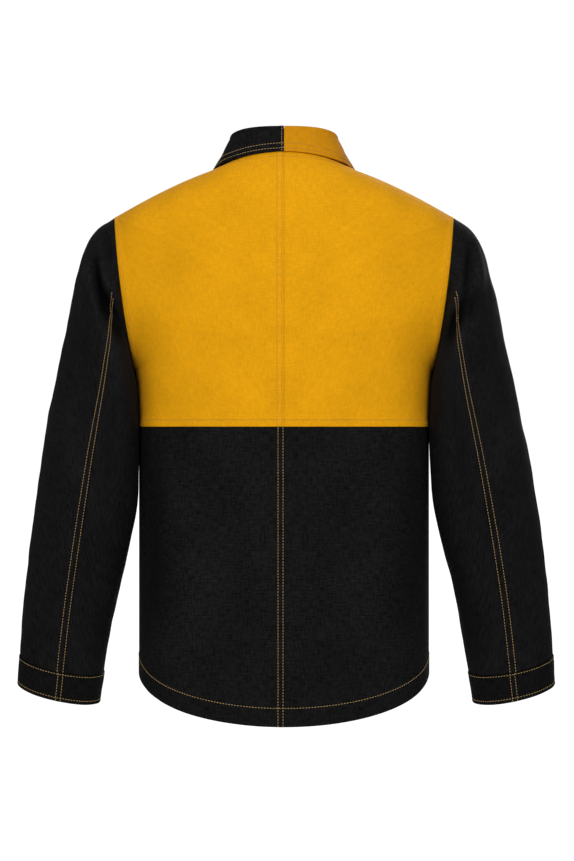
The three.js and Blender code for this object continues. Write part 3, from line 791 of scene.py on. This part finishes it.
def woven_group():
    """Twill ribs, crossing threads, flecks, slow unevenness, and painted crease shade and highlight."""
    group = bpy.data.node_groups.get("woven_cloth")
    if group:
        return group
    group = bpy.data.node_groups.new("woven_cloth", "ShaderNodeTree")
    group_socket(group, "Place", "NodeSocketVector", "INPUT")
    group_socket(group, "Colour", "NodeSocketColor", "INPUT", (0.5, 0.5, 0.5, 1))
    for name, value in (("Pitch", 0.0011), ("Fleck", 0.12), ("Unevenness", 0.1), ("Roughness", 0.85),
                        ("Fold", 0.0), ("Painted fold shade and highlight", 0.05)):
        group_socket(group, name, "NodeSocketFloat", "INPUT", value)
    group_socket(group, "Colour", "NodeSocketColor", "OUTPUT")
    for name in ("Roughness", "Height"):
        group_socket(group, name, "NodeSocketFloat", "OUTPUT")
    nodes, links = group.nodes, group.links
    inside, outside = nodes.new("NodeGroupInput"), nodes.new("NodeGroupOutput")

    def calc(operation, a, b=0):
        node = nodes.new("ShaderNodeMath")
        node.operation = operation
        for socket, value in zip(node.inputs, (a, b)):
            if isinstance(value, (int, float)):
                socket.default_value = value
            else:
                links.new(value, socket)
        return node.outputs[0]

    split = nodes.new("ShaderNodeSeparateXYZ")
    links.new(inside.outputs["Place"], split.inputs[0])
    turns = calc("DIVIDE", 2 * math.pi, inside.outputs["Pitch"])
    u = calc("MULTIPLY", split.outputs["X"], turns)
    v = calc("MULTIPLY", split.outputs["Y"], turns)
    rib = calc("SINE", calc("ADD", u, v))
    across = calc("SINE", calc("MULTIPLY", u, 2))
    weft = calc("SINE", calc("MULTIPLY", v, 2))
    threads = calc("MULTIPLY", across, weft)
    weave = calc("ADD", calc("MULTIPLY", rib, 0.32), calc("MULTIPLY", threads, 0.18))
    uneven = []
    for scale, detail, stretch in (
        (420.0, 2.0, (1, 0.22, 1)),
        (420.0, 2.0, (0.22, 1, 1)),
        (16.0, 4.0, (1, 1, 1)),
    ):
        stretched, noise = nodes.new("ShaderNodeVectorMath"), nodes.new("ShaderNodeTexNoise")
        stretched.operation = "MULTIPLY"
        stretched.inputs[1].default_value = stretch
        noise.inputs["Scale"].default_value = scale
        noise.inputs["Detail"].default_value = detail
        links.new(inside.outputs["Place"], stretched.inputs[0])
        links.new(stretched.outputs[0], noise.inputs["Vector"])
        uneven.append(calc("SUBTRACT", noise.outputs["Fac"], 0.5))
    fleck_off, cloud_off = calc("ADD", uneven[0], uneven[1]), uneven[2]
    shade = calc(
        "ADD",
        calc("MULTIPLY", fleck_off, inside.outputs["Fleck"]),
        calc("MULTIPLY", cloud_off, inside.outputs["Unevenness"]),
    )
    shade = calc("ADD", shade, calc("MULTIPLY", weave, 0.12))
    shade = calc("MAXIMUM", calc("ADD", shade, 1.0), 0.15)
    # Painted shade and highlight: the crease height darkens the colour in the valleys and lightens it on
    # the ridges.
    fold = calc("MULTIPLY", inside.outputs["Fold"], inside.outputs["Painted fold shade and highlight"])
    fold = calc("MINIMUM", calc("ADD", fold, 1.0), 1.6)
    shade = calc("MULTIPLY", shade, calc("MAXIMUM", fold, 0.08))
    tinted = nodes.new("ShaderNodeVectorMath")
    tinted.operation = "SCALE"
    links.new(inside.outputs["Colour"], tinted.inputs[0])
    links.new(shade, tinted.inputs["Scale"])
    links.new(tinted.outputs[0], outside.inputs["Colour"])
    rough = calc("ADD", inside.outputs["Roughness"],
                      calc("MULTIPLY", fleck_off, 0.12))
    links.new(rough, outside.inputs["Roughness"])
    height = calc("ADD", calc("ADD", weave, 0.5),
                       calc("MULTIPLY", fleck_off, 0.6))
    links.new(height, outside.inputs["Height"])
    return group


def new_material(name):
    material = bpy.data.materials.new(name)
    material.use_nodes = True
    return material, material.node_tree.nodes, material.node_tree.links


# The last entry: how strongly the crease heights paint shade into valleys and highlight onto ridges.
DARK_CLOTH = {"Fleck": 2.6, "Unevenness": 0.9, "Roughness": 0.8, "Painted fold shade and highlight": 0.085}
BRIGHT_CLOTH = {"Fleck": 0.3, "Unevenness": 0.3, "Roughness": 0.86, "Painted fold shade and highlight": 0.012}


def cloth_material(colour):
    name = f"{colour}_twill"
    if name in bpy.data.materials:
        return bpy.data.materials[name]
    finish = bpy.context.scene.jacket_finish
    material, nodes, links = new_material(name)
    shader = nodes["Principled BSDF"]
    place, woven, bump = (nodes.new(t) for t in ("ShaderNodeUVMap", "ShaderNodeGroup", "ShaderNodeBump"))
    place.uv_map = "cloth"
    woven.node_tree = woven_group()
    woven.inputs["Colour"].default_value = (*getattr(finish, colour), 1)
    woven.inputs["Pitch"].default_value = finish.twill
    dark = "black" in colour
    for socket, value in (DARK_CLOTH if dark else BRIGHT_CLOTH).items():
        woven.inputs[socket].default_value = value
    # The fold attribute paints shade into the crease valleys and highlight onto the ridges.
    folds = nodes.new("ShaderNodeAttribute")
    folds.attribute_name = "fold"
    links.new(folds.outputs["Fac"], woven.inputs["Fold"])
    links.new(place.outputs[0], woven.inputs["Place"])
    links.new(woven.outputs["Colour"], shader.inputs["Base Color"])
    links.new(woven.outputs["Roughness"], shader.inputs["Roughness"])
    links.new(woven.outputs["Height"], bump.inputs["Height"])
    bump.inputs["Strength"].default_value = 0.35
    bump.inputs["Distance"].default_value = 0.0003
    links.new(bump.outputs[0], shader.inputs["Normal"])
    shader.inputs["Specular IOR Level"].default_value = 0.07
    shader.inputs["Sheen Weight"].default_value = 0.004 if dark else 0.01
    shader.inputs["Sheen Roughness"].default_value = 0.5
    return material


def grain(nodes, links, scale):
    """Fine noise fixed to the piece."""
    noise, place = nodes.new("ShaderNodeTexNoise"), nodes.new("ShaderNodeTexCoord")
    noise.inputs["Scale"].default_value = scale
    links.new(place.outputs["Object"], noise.inputs["Vector"])
    return noise.outputs["Fac"]


def thread_material(cloth):
    # Thread on yellow cloth takes the darker copy of the gold thread: painted shade.
    tone = "gold" if "black" in cloth else "tan"
    name = f"{tone}_thread"
    if name in bpy.data.materials:
        return bpy.data.materials[name]
    material, nodes, links = new_material(name)
    shader = nodes["Principled BSDF"]
    ramp, dye = nodes.new("ShaderNodeMixRGB"), getattr(bpy.context.scene.jacket_finish, tone)
    ramp.inputs[1].default_value = (*(c * 0.7 for c in dye), 1)
    ramp.inputs[2].default_value = (*(min(1, c * 1.3) for c in dye), 1)
    links.new(grain(nodes, links, 700.0), ramp.inputs[0])
    links.new(ramp.outputs[0], shader.inputs["Base Color"])
    shader.inputs["Roughness"].default_value = 0.6
    shader.inputs["Sheen Weight"].default_value = 0.2
    return material


def nickel_material():
    name = "satin_nickel"
    if name in bpy.data.materials:
        return bpy.data.materials[name]
    material, nodes, links = new_material(name)
    shader = nodes["Principled BSDF"]
    scratches = grain(nodes, links, 900.0)
    rough, bump = nodes.new("ShaderNodeMapRange"), nodes.new("ShaderNodeBump")
    rough.inputs["To Min"].default_value, rough.inputs["To Max"].default_value = 0.22, 0.42
    links.new(scratches, rough.inputs["Value"])
    links.new(rough.outputs[0], shader.inputs["Roughness"])
    links.new(scratches, bump.inputs["Height"])
    bump.inputs["Strength"].default_value, bump.inputs["Distance"].default_value = 0.15, 0.0001
    links.new(bump.outputs[0], shader.inputs["Normal"])
    shader.inputs["Base Color"].default_value = (*bpy.context.scene.jacket_finish.nickel, 1)
    shader.inputs["Metallic"].default_value = 1.0
    return material


# ---- Operators ---------------------------------------------------------------------------


class JacketOperator:
    bl_options = {"REGISTER", "UNDO"}

    def setting(self, context):
        return Pattern(context.scene.jacket_sizes), context.scene.jacket_finish


def past_armhole(pattern, p):
    """How far a point lies beyond the armhole, outwards along the arm."""
    tall = pattern.underarm_drop - pattern.shoulder_drop
    share = np.clip((-pattern.shoulder_drop - p[..., 2]) / tall, 0, 1)
    return np.abs(p[..., 0]) - mix(pattern.tip[0], pattern.underarm[0], share)


def body_drape(pattern):
    def drape(p):
        back, front = smooth(-p[..., 1], 14, 66), smooth(p[..., 1], 14, 66)
        ripples = 1.5 * ripple(p, 110, 3) + 0.5 * ripple(p, 44, 5)
        height = back * crease_height(p, BACK_CREASES) + front * crease_height(p, FRONT_CREASES)
        height += (back + front) * ripples * mix(0.45, 1, smooth(np.abs(p[..., 0]), 8, 40))
        arm = np.where(p[..., 2] > -pattern.underarm_drop - 20, smooth(-past_armhole(pattern, p), 1, 18), 1)
        neck = np.hypot(p[..., 0] / 84.0, (p[..., 2] + 14.0) / np.where(p[..., 1] > 0, 84.0, 34.0))
        return height * arm * smooth(neck, 1.0, 1.6)

    return drape


def sleeve_drape(pattern, side):
    def drape(p):
        q = mirrored(p, side)
        back, front = smooth(-q[..., 1], 22, 58), smooth(q[..., 1], 0, 45)
        height = back * crease_height(q, BACK_CREASES) + front * crease_height(q, SLEEVE_FRONT_CREASES)
        height += 1.0 * ripple(q, 95, 11) + 0.5 * ripple(q, 38, 13)
        return height * smooth(past_armhole(pattern, p), 1, 12)

    return drape


def side_drape(drape, side, low=None, high=None):
    """The body's drape on one side; it is calm up to low from the centre and full from high."""
    if low is None:
        return lambda p: drape(mirrored(p, side))
    return lambda p: drape(mirrored(p, side)) * smooth(np.abs(p[..., 0]), low, high)


def door_blend(pattern):
    """Two points, at the front yokes' lower seam and 0.3 m below it, passed as the opening fronts' blend.
    """
    top = pattern.placed(np.array((0.0, 100.0, -pattern.front_yoke)))
    return top, top - np.array((0, 0, 0.3))


def sleeve_blend(pattern, side):
    """Two points, at the underarm and a little further out and down, passed as a sleeve's blend."""
    start = pattern.placed(pattern.underarm * np.array((side, 1, 1)))
    return start, start + np.array((side * 0.97, 0, -0.24)) * 0.048


class JACKET_OT_back(JacketOperator, bpy.types.Operator):
    """Builds the two back yokes and the two lower back panels"""

    bl_idname = "jacket.back"
    bl_label = "Back"

    def execute(self, context):
        pattern, finish = self.setting(context)
        drape = body_drape(pattern)
        gap, hem = finish.needle_gap * 1000, finish.hem_depth * 1000
        for word, side in SIDES:
            seam = CENTRE_SEAM if side < 0 else None
            yoke = Panel(lambda u, v: pattern.back(3 * u, v), pattern.outward, side_drape(drape, side))
            yoke.settle()
            yoke.fold("bottom", YOKE_TURN, 1.0, (YOKE_ROW,))
            yoke.fold("top", 21, 0.5, (19.5,))
            first = self.ring_row(pattern, yoke, 1.02)
            last = self.ring_row(pattern, yoke, 2.0)
            yoke.fold("end", 9.5, 0.8, (8.0,), span=(first, last))
            rows = [("bottom", YOKE_ROW), ("top", 19.5, (0.0, 0.9)), ("end", 8.0, (first, last))]
            if side < 0:
                rows += yoke.felled(2.6, 3.2, gap)
            else:
                yoke.make_room()
            lay_cloth(f"yoke_back_{word}", f"back_yoke_{word}", yoke, side, "yellow", "torso",
                      rows=rows, allowance=seam)
            low = Panel(lambda u, v: pattern.back(3 + u, v), pattern.outward, side_drape(drape, side))
            rows = [low.hem(hem)]
            if side < 0:
                rows += low.felled(1.2, 1.6, gap)
            else:
                low.make_room()
            lay_cloth(f"lower_back_{word}", f"back_panel_{word}", low, side, "black", "torso",
                      rows=rows, allowance=seam)
        return {"FINISHED"}

    @staticmethod
    def ring_row(pattern, yoke, ring):
        """The share of the yoke's rows that lies above where its edge reaches a ring."""
        mark = pattern.edge(np.array([ring]), -1)[0]
        nearest = np.argmin(np.linalg.norm(yoke.grid[:, -1] - mark, axis=-1))
        return nearest / (len(yoke.grid) - 1)


class JACKET_OT_fronts(JacketOperator, bpy.types.Operator):
    """Builds the front yokes, the side fronts and the two fronts that open"""

    bl_idname = "jacket.fronts"
    bl_label = "Fronts"

    def execute(self, context):
        pattern, finish = self.setting(context)
        drape = body_drape(pattern)
        gap, hem = finish.needle_gap * 1000, finish.hem_depth * 1000
        edge_at_yoke = pattern.edge(np.array(pattern.front_ring), 1)
        from_lap = pattern.front_across(-pattern.lap)
        span = pattern.side_hem - pattern.front_yoke
        for word, side in SIDES:
            under = LAP_DROP if side > 0 else 0.0

            def step_in(x):
                return under * (1 - smooth(x, pattern.lap + 2, pattern.lap + 30))

            def yoke_place(u, v):
                ring, across = pattern.front_ring * u, mix(from_lap, 1.0, v)
                p, d = pattern.front(ring, across), 1e-3
                down = pattern.front(ring + d, across) - p
                beside = pattern.front(ring, across + d) - p
                return p - unit(np.cross(beside, down)) * step_in(p[..., 0])[..., None]

            calm = side_drape(drape, side, 26, 70)
            yoke = Panel(yoke_place, pattern.outward, calm)
            yoke.settle(60)
            yoke.fold("bottom", YOKE_TURN, 1.0, (YOKE_ROW,))
            yoke.fold("start", 7.5, 0.5, (6.0,))
            lay_cloth(f"yoke_front_{word}", f"front_yoke_{word}", yoke, side, "yellow", "torso",
                      rows=[("bottom", YOKE_ROW), ("start", 6.0)])

            def front_place(u, v):
                x = mix(-pattern.lap, pattern.swing, v) + 0 * u
                y = pattern.front_plan(x, edge_at_yoke) - step_in(x)
                return xyz(x, y, -pattern.front_yoke - span * u + 0 * v)

            def still(p):
                return calm(p) * (1 - smooth(np.abs(p[..., 0]), pattern.swing - 30, pattern.swing - 4))

            front = Panel(front_place, pattern.outward, still)
            front.fold("start", 7.5, 0.5, (6.0,))
            hem_row = front.hem(hem)
            front.turn_up("start", 44, 0.6)
            lay_cloth(f"front_{word}", f"front_panel_{word}", front, side, "black", f"front_{word}",
                      blend=door_blend(pattern), rows=[("start", 6.0), ("start", 42.0), hem_row])

            def side_place(u, v):
                ring = np.where(u < 0.42, mix(pattern.front_ring, 2, u / 0.42), 2 + 2 * (u - 0.42) / 0.58)
                edge = pattern.edge(ring + 0 * v, 1)
                x = mix(pattern.swing, edge[..., 0], 1 - (1 - v) ** 1.6)
                return xyz(x, pattern.front_plan(x, edge), edge[..., 2])

            quiet = side_drape(drape, side, pattern.swing + 2, pattern.swing + 30)
            beside = Panel(side_place, pattern.outward, quiet)
            rows = [*beside.felled(1.6, 2.4, gap), beside.hem(hem)]
            lay_cloth(f"side_of_front_{word}", f"side_front_{word}", beside, side, "black", "torso",
                      rows=rows)
        return {"FINISHED"}


class JACKET_OT_sleeves(JacketOperator, bpy.types.Operator):
    """Builds both sleeves, each of an upper and an under piece, and their cuffs"""

    bl_idname = "jacket.sleeves"
    bl_label = "Sleeves and cuffs"

    def execute(self, context):
        pattern, finish = self.setting(context)
        gap = finish.needle_gap * 1000
        for word, side in SIDES:
            blend = sleeve_blend(pattern, side)
            drape = sleeve_drape(pattern, side)
            pattern.swing_out = (finish.hang_left if side < 0 else finish.hang_right) * 1000
            for upper in (True, False):

                def place(u, v):
                    along = CUFF_START * u + 0 * v
                    seam = pattern.sleeve_seam(along)
                    turn = mix(-seam, seam, v) if upper else mix(seam, 2 * math.pi - seam, v)
                    return pattern.sleeve(along, turn)[0]

                panel = Panel(place, self.facing(pattern), drape, {"step": 4.0})
                rows = []
                if upper:
                    for edge in ("start", "end"):
                        panel.fold(edge, 3.4 + gap, 0.8, (1.5, 2.8 + gap))
                        first = 0.085 if edge == "end" else 0.02
                        rows += [(edge, 1.5, (first, 1.0)), (edge, 2.8 + gap, (first, 1.0))]
                kind = "upper" if upper else "under"
                lay_cloth(f"{kind}_sleeve_{word}", f"sleeve_{kind}_{word}", panel, side, "black",
                          f"sleeve_{word}", blend=blend, rows=rows, allowance=ARMHOLE_SEAM)
            seam = float(pattern.sleeve_seam(np.array(1.0)))

            def cuff_place(u, v):
                along = mix(CUFF_START, 1.0, u) + 0 * v
                return pattern.sleeve(along, seam + 2 * math.pi * v, 1.2)[0]

            cuff = Panel(cuff_place, self.facing(pattern), drape, {"step": 4.0})
            cuff.closed = True
            cuff.grid[..., 2] -= 0.25 * (1 - smooth(cuff.down, 0, 2))
            for edge, rows_at in (("top", (2.4, 6.8)), ("bottom", (5.0,))):
                cuff.fold(edge, 0.0, 0.0, rows_at)
            cuff.fold("end", 2.2 + gap, 0.6, (1.5, 1.5 + gap))
            cuff.turn_up("bottom", 60, 1.1)
            lay_cloth(f"cuff_band_{word}", f"cuff_{word}", cuff, side, "cuff_black", f"sleeve_{word}",
                      blend=blend, rows=[("top", 2.4), ("bottom", 5.0), ("end", 1.5), ("end", 1.5 + gap)])
        return {"FINISHED"}

    @staticmethod
    def facing(pattern):
        axis_points = np.linspace(0, 1, 41)
        tops, _ = pattern.sleeve(axis_points, np.zeros(41))
        unders, _ = pattern.sleeve(axis_points, np.full(41, math.pi))
        line = (tops + unders) / 2

        def facing(p):
            flat = p.reshape(-1, 3)
            along = np.gradient(line, axis=0)
            out = np.empty_like(flat)
            for k in range(0, len(flat), 4000):
                part = flat[k : k + 4000]
                gap = part[:, None] - line[None]
                off = np.abs((gap * unit(along)[None]).sum(-1)) + 0.05 * np.linalg.norm(gap, axis=-1)
                nearest = np.argmin(off, axis=1)
                out[k : k + 4000] = unit(part - line[nearest])
            return out.reshape(p.shape)

        return facing


class JACKET_OT_collar(JacketOperator, bpy.types.Operator):
    """Builds the collar stand, the two halves of the turned-down leaf and the hang loop"""

    bl_idname = "jacket.collar"
    bl_label = "Collar and loop"

    def execute(self, context):
        pattern, finish = self.setting(context)
        end = 1.8

        def away(p):
            return unit(p * np.array((1, 1, 0)))

        def stand_place(u, v):
            round_ = mix(-end, end, v) + 0 * u
            size = np.abs(round_)
            seam = pattern.neck_seam(size) + np.array((0, 0, 0.2))
            p = mix(seam, pattern.fold_line(size), (u + 0 * v)[..., None])
            return p * xyz(np.where(round_ < 0, -1, 1), 1, 1)

        stand = Panel(stand_place, away, steps={"fine": 6.0, "step": 5.0})
        lay_cloth("stand_of_collar", "collar_stand", stand, 1, "black", "torso",
                  rows=[("bottom", 4.0), ("top", 3.0)])

        roll = np.array(((-1.6, 2.6), (-0.2, 3.3), (1.6, 3.4), (3.4, 2.4), (4.6, 0.2), (5.4, -3.6)))

        def leaf_place(u, v):
            round_ = end * v + 0 * u
            depth = u + 0 * v
            top = pattern.fold_line(round_)
            out = away(top)
            turned = np.clip(depth / 0.22, 0, 1)
            reach = through(roll[:, 0], turned)[..., None]
            rise = through(roll[:, 1], turned)[..., None]
            crest = top + out * reach + np.array((0, 0, 1.0)) * rise
            fall = np.clip((depth - 0.22) / 0.78, 0, 1)[..., None]
            shape = mix(crest, pattern.leaf_edge(round_), fall)
            return shape + out * 5.0 * fall * (1 - fall)

        for word, side in SIDES:
            leaf = Panel(leaf_place, lambda p: self.leaf_facing(p, leaf_place, away), None,
                         steps={"fine": 13.0, "step": 4.0})
            leaf.relief += 0.25 * ripple(leaf.grid, 40, 21)
            leaf.fold("bottom", 12.6, 0.5, (4.6, 11.6))
            leaf.fold("end", 6.5, 0.3, (5.0,))
            rows = [("bottom", 4.6), ("bottom", 11.6), ("end", 5.0)]
            if side < 0:
                leaf.fold("start", 4.2, 0.5, (3.0,))
                rows.append(("start", 3.0))
            lay_cloth(f"leaf_of_collar_{word}", f"collar_leaf_{word}", leaf, side,
                      "black" if side < 0 else "collar_yellow", "torso", rows=rows)
        self.loop(pattern, finish)
        return {"FINISHED"}

    @staticmethod
    def leaf_facing(grid, place, away):
        down = np.gradient(grid, axis=0)
        level = np.cross(np.array((0, 0, 1.0)), away(grid[:1] + 0 * grid))
        normal = unit(np.cross(down, level))
        return normal * np.where((normal[-1:] * away(grid[-1:])).sum(-1, keepdims=True) < 0, -1, 1)

    @staticmethod
    def loop(pattern, finish):
        low, high = (np.array(c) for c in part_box("hang_loop"))
        thick, bend = 0.0016, 0.004
        half, top = high[0] - thick / 2, high[2] - thick / 2
        line = [(-half, low[2] + (top - bend - low[2]) * t) for t in np.linspace(0, 1, 12)]
        line += [(-half + bend * (1 - math.cos(a)), top - bend + bend * math.sin(a))
                 for a in np.linspace(0.2, math.pi / 2, 7)]
        line += [(x, top) for x in np.linspace(-half + bend, half - bend, 24)[1:-1]]
        line += [(half - bend * (1 - math.cos(a)), top - bend + bend * math.sin(a))
                 for a in np.linspace(math.pi / 2, 0.2, 7)]
        line += [(half, low[2] + (top - bend - low[2]) * t) for t in np.linspace(1, 0, 12)]
        line = np.array(line)
        tangent = unit(np.gradient(line, axis=0))
        side = np.stack((-tangent[:, 1], tangent[:, 0]), -1)
        widths = np.linspace(low[1], high[1], 7)
        ring = [(y, 0.5) for y in widths] + [(y, -0.5) for y in widths[::-1]]
        points, uv = [], []
        run = np.concatenate(([0], np.cumsum(np.linalg.norm(np.diff(line, axis=0), axis=1))))
        for (x, z), (sx, sz), r in zip(line, side, run):
            for y, s in ring:
                edge = 1 - 0.45 * (abs(y - (low[1] + high[1]) / 2) > 0.0039)
                points.append((x + sx * s * thick * edge, y, z + sz * s * thick * edge))
                uv.append((y, r))
        count, around = len(line), len(ring)
        faces = []
        for base in range(0, (count - 1) * around, around):
            for k in range(around):
                j = (k + 1) % around
                faces.append((base + k, base + j, base + around + j, base + around + k))
        faces.append(tuple(range(around))[::-1])
        faces.append(tuple((count - 1) * around + k for k in range(around)))
        piece = mesh_object("hanging_loop", points, faces, cloth_material("black"), np.array(uv), 50)
        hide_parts("hang_loop")
        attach(piece, "torso")


class JACKET_OT_studs(JacketOperator, bpy.types.Operator):
    """Builds the press studs: a domed cap and socket on the left, a stud on the right"""

    bl_idname = "jacket.studs"
    bl_label = "Press studs"

    # Half profiles in millimetres: radius and height.
    CAP = ((0, 0.2), (2.2, 0.2), (2.35, 0.0), (2.35, -1.0), (3.1, -1.15), (5.4, -1.15), (5.75, -0.8),
           (5.75, 0.55), (5.4, 0.85), (2.4, 0.85), (2.4, 3.05), (6.7, 3.15), (7.0, 3.5), (6.95, 4.0),
           (6.3, 4.35), (5.9, 4.2), (5.5, 4.3), (4.4, 4.95), (2.6, 5.4), (0, 5.6))
    STUD = ((0, 0.0), (5.2, 0.0), (5.5, 0.3), (5.4, 1.1), (2.4, 1.2), (2.4, 3.4), (4.7, 3.4),
            (5.0, 3.7), (4.8, 4.1), (2.2, 4.2), (1.75, 4.5), (1.9, 4.9), (1.5, 5.1), (0, 5.15))

    def execute(self, context):
        pattern, finish = self.setting(context)
        for kind, profile, holder in (("cap", self.CAP, "left"), ("stud", self.STUD, "right")):
            for name, group, body, blend in (
                (f"yoke_{kind}", (1,), "torso", None),
                (f"front_{kind}s", range(2, 7), f"front_{holder}", door_blend(pattern)),
            ):
                points, faces = [], []
                for n in group:
                    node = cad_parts[f"snap_{kind}_{n}"]
                    self.turn(node, profile, finish.stud_sides, points, faces)
                piece = mesh_object(name, points, faces, nickel_material(), None, 35)
                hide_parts(*(f"snap_{kind}_{n}" for n in group))
                tie(piece, body, blend)
        return {"FINISHED"}

    @staticmethod
    def turn(node, profile, sides, points, faces):
        """Turns a profile about the CAD stud's own axis, filling the same height."""
        co = np.array([v.co for v in node.data.vertices])
        middle = co.mean(axis=0)
        _, _, ways = np.linalg.svd(co - middle)
        axis = ways[int(np.argmin([abs(abs((ways[k] @ (0, 1, 0.3))) - 1) for k in range(3)]))]
        if axis[1] < 0:
            axis = -axis
        heights = (co - middle) @ axis
        low, high = heights.min(), heights.max()
        profile = np.array(profile) / 1000
        profile[:, 1] = low + (profile[:, 1] - profile[:, 1].min()) / np.ptp(profile[:, 1]) * (high - low)
        beside = unit(np.cross(axis, (1.0, 0, 0)) if abs(axis[0]) < 0.9 else np.cross(axis, (0, 0, 1.0)))
        over = np.cross(axis, beside)
        base = len(points)
        points.append(middle + axis * profile[0, 1])
        inner = profile[1:-1]
        for r, h in inner:
            for k in range(sides):
                a = 2 * math.pi * k / sides
                points.append(middle + axis * h + (beside * math.cos(a) + over * math.sin(a)) * r)
        points.append(middle + axis * profile[-1, 1])
        top = len(points) - 1
        for k in range(sides):
            j = (k + 1) % sides
            faces.append((base, base + 1 + j, base + 1 + k))
            for i in range(len(inner) - 1):
                a = base + 1 + i * sides
                faces.append((a + k, a + j, a + sides + j, a + sides + k))
            a = base + 1 + (len(inner) - 1) * sides
            faces.append((a + k, a + j, top))


def seen_glow(nodes, links, unseen, seen):
    """A strength that differs between lighting the jacket and filling the view."""
    rays, glow = nodes.new("ShaderNodeLightPath"), nodes.new("ShaderNodeMapRange")
    glow.inputs["To Min"].default_value, glow.inputs["To Max"].default_value = unseen, seen
    links.new(rays.outputs["Is Camera Ray"], glow.inputs["Value"])
    return glow.outputs[0]


class JACKET_OT_stage(JacketOperator, bpy.types.Operator):
    """Sets the pale floor, the studio lights and the camera"""

    bl_idname = "jacket.stage"
    bl_label = "Stage"

    # Each light's name, place and size in metres, and power in watts.
    LIGHTS = (
        ("key", (-1.3, -3.2, 1.5), 1.3, 58),
        ("fill", (1.3, -3.2, 0.9), 1.3, 48),
        ("top", (0.0, 0.2, 2.2), 1.6, 10),
        ("front", (0.6, 3.0, 0.9), 2.2, 60),
    )
    FLOOR_DROP, FLOOR_REACH, FLOOR_SIDES = 0.3, 60.0, 64
    CAMERA_DISTANCE, VIEW_HEIGHT, SENSOR = 8.0, 1.147, 36.0
    AIM = (4.0, -40.0, -371.0)  # in the pattern's millimetres

    def execute(self, context):
        scene = context.scene
        self.backdrop()
        world = bpy.data.worlds.new("studio")
        scene.world = world
        world.use_nodes = True
        nodes, links = world.node_tree.nodes, world.node_tree.links
        sky = nodes["Background"]
        sky.inputs[0].default_value = (1, 1, 1, 1)
        links.new(seen_glow(nodes, links, 0.24, 1.04), sky.inputs[1])
        middle = Vector((0, 0, (CAD_BOX[0][2] + CAD_BOX[1][2]) / 2))
        for name, place, size, power in self.LIGHTS:
            data = bpy.data.lights.new(name, "AREA")
            data.energy, data.shape, data.size = power, "DISK", size
            light = bpy.data.objects.new(name, data)
            light.location = place
            light.rotation_euler = (middle - Vector(place)).to_track_quat("-Z", "Y").to_euler()
            scene.collection.objects.link(light)
        self.camera(scene)
        scene.view_settings.view_transform = "Standard"
        return {"FINISHED"}

    def backdrop(self):
        """A round pale floor that runs on into the white distance."""
        floor, reach, sides = CAD_BOX[0][2] - self.FLOOR_DROP, self.FLOOR_REACH, self.FLOOR_SIDES
        turns = [2 * math.pi * k / sides for k in range(sides)]
        points = [(reach * math.cos(a), reach * math.sin(a), floor) for a in turns]
        material, nodes, links = new_material("pale_floor")
        shader = nodes["Principled BSDF"]
        shader.inputs["Base Color"].default_value = (0.7, 0.7, 0.7, 1)
        shader.inputs["Roughness"].default_value = 0.9
        shader.inputs["Specular IOR Level"].default_value = 0.0
        shader.inputs["Emission Color"].default_value = (1, 1, 1, 1)
        links.new(seen_glow(nodes, links, 0.0, 0.95), shader.inputs["Emission Strength"])
        mesh_object("floor", points, [tuple(range(sides))], material, sharp=0)

    def camera(self, scene):
        pattern = Pattern(scene.jacket_sizes)
        data = bpy.data.cameras.new("camera")
        data.lens, data.sensor_width = self.SENSOR * self.CAMERA_DISTANCE / self.VIEW_HEIGHT, self.SENSOR
        data.sensor_fit = "AUTO"
        camera = bpy.data.objects.new("camera", data)
        aim = pattern.placed(np.array(self.AIM))
        camera.location = (aim[0], aim[1] - self.CAMERA_DISTANCE, aim[2])
        camera.rotation_euler = (math.pi / 2, 0, 0)
        data.clip_end = 100.0
        scene.collection.objects.link(camera)
        scene.camera = camera


class JACKET_PT_panel(bpy.types.Panel):
    bl_label = "Work jacket"
    bl_idname = "JACKET_PT_panel"
    bl_space_type = "VIEW_3D"
    bl_region_type = "UI"
    bl_category = "Jacket"

    def draw(self, context):
        for settings in (context.scene.jacket_sizes, context.scene.jacket_finish):
            box = self.layout.box()
            for name in settings.__annotations__:
                box.prop(settings, name)
        for operator in BUILDERS:
            self.layout.operator(operator.bl_idname)


BUILDERS = (JACKET_OT_back, JACKET_OT_fronts, JACKET_OT_sleeves, JACKET_OT_collar, JACKET_OT_studs,
            JACKET_OT_stage)
CLASSES = (JacketSizes, JacketFinish, *BUILDERS, JACKET_PT_panel)


def register():
    for cls in CLASSES:
        bpy.utils.register_class(cls)
    bpy.types.Scene.jacket_sizes = PointerProperty(type=JacketSizes)
    bpy.types.Scene.jacket_finish = PointerProperty(type=JacketFinish)


def unregister():
    del bpy.types.Scene.jacket_finish
    del bpy.types.Scene.jacket_sizes
    for cls in reversed(CLASSES):
        bpy.utils.unregister_class(cls)


def main():
    register()
    for operator in ("back", "fronts", "sleeves", "collar", "studs", "stage"):
        getattr(bpy.ops.jacket, operator)()
    bpy.context.view_layer.update()


if __name__ == "__main__":
    main()
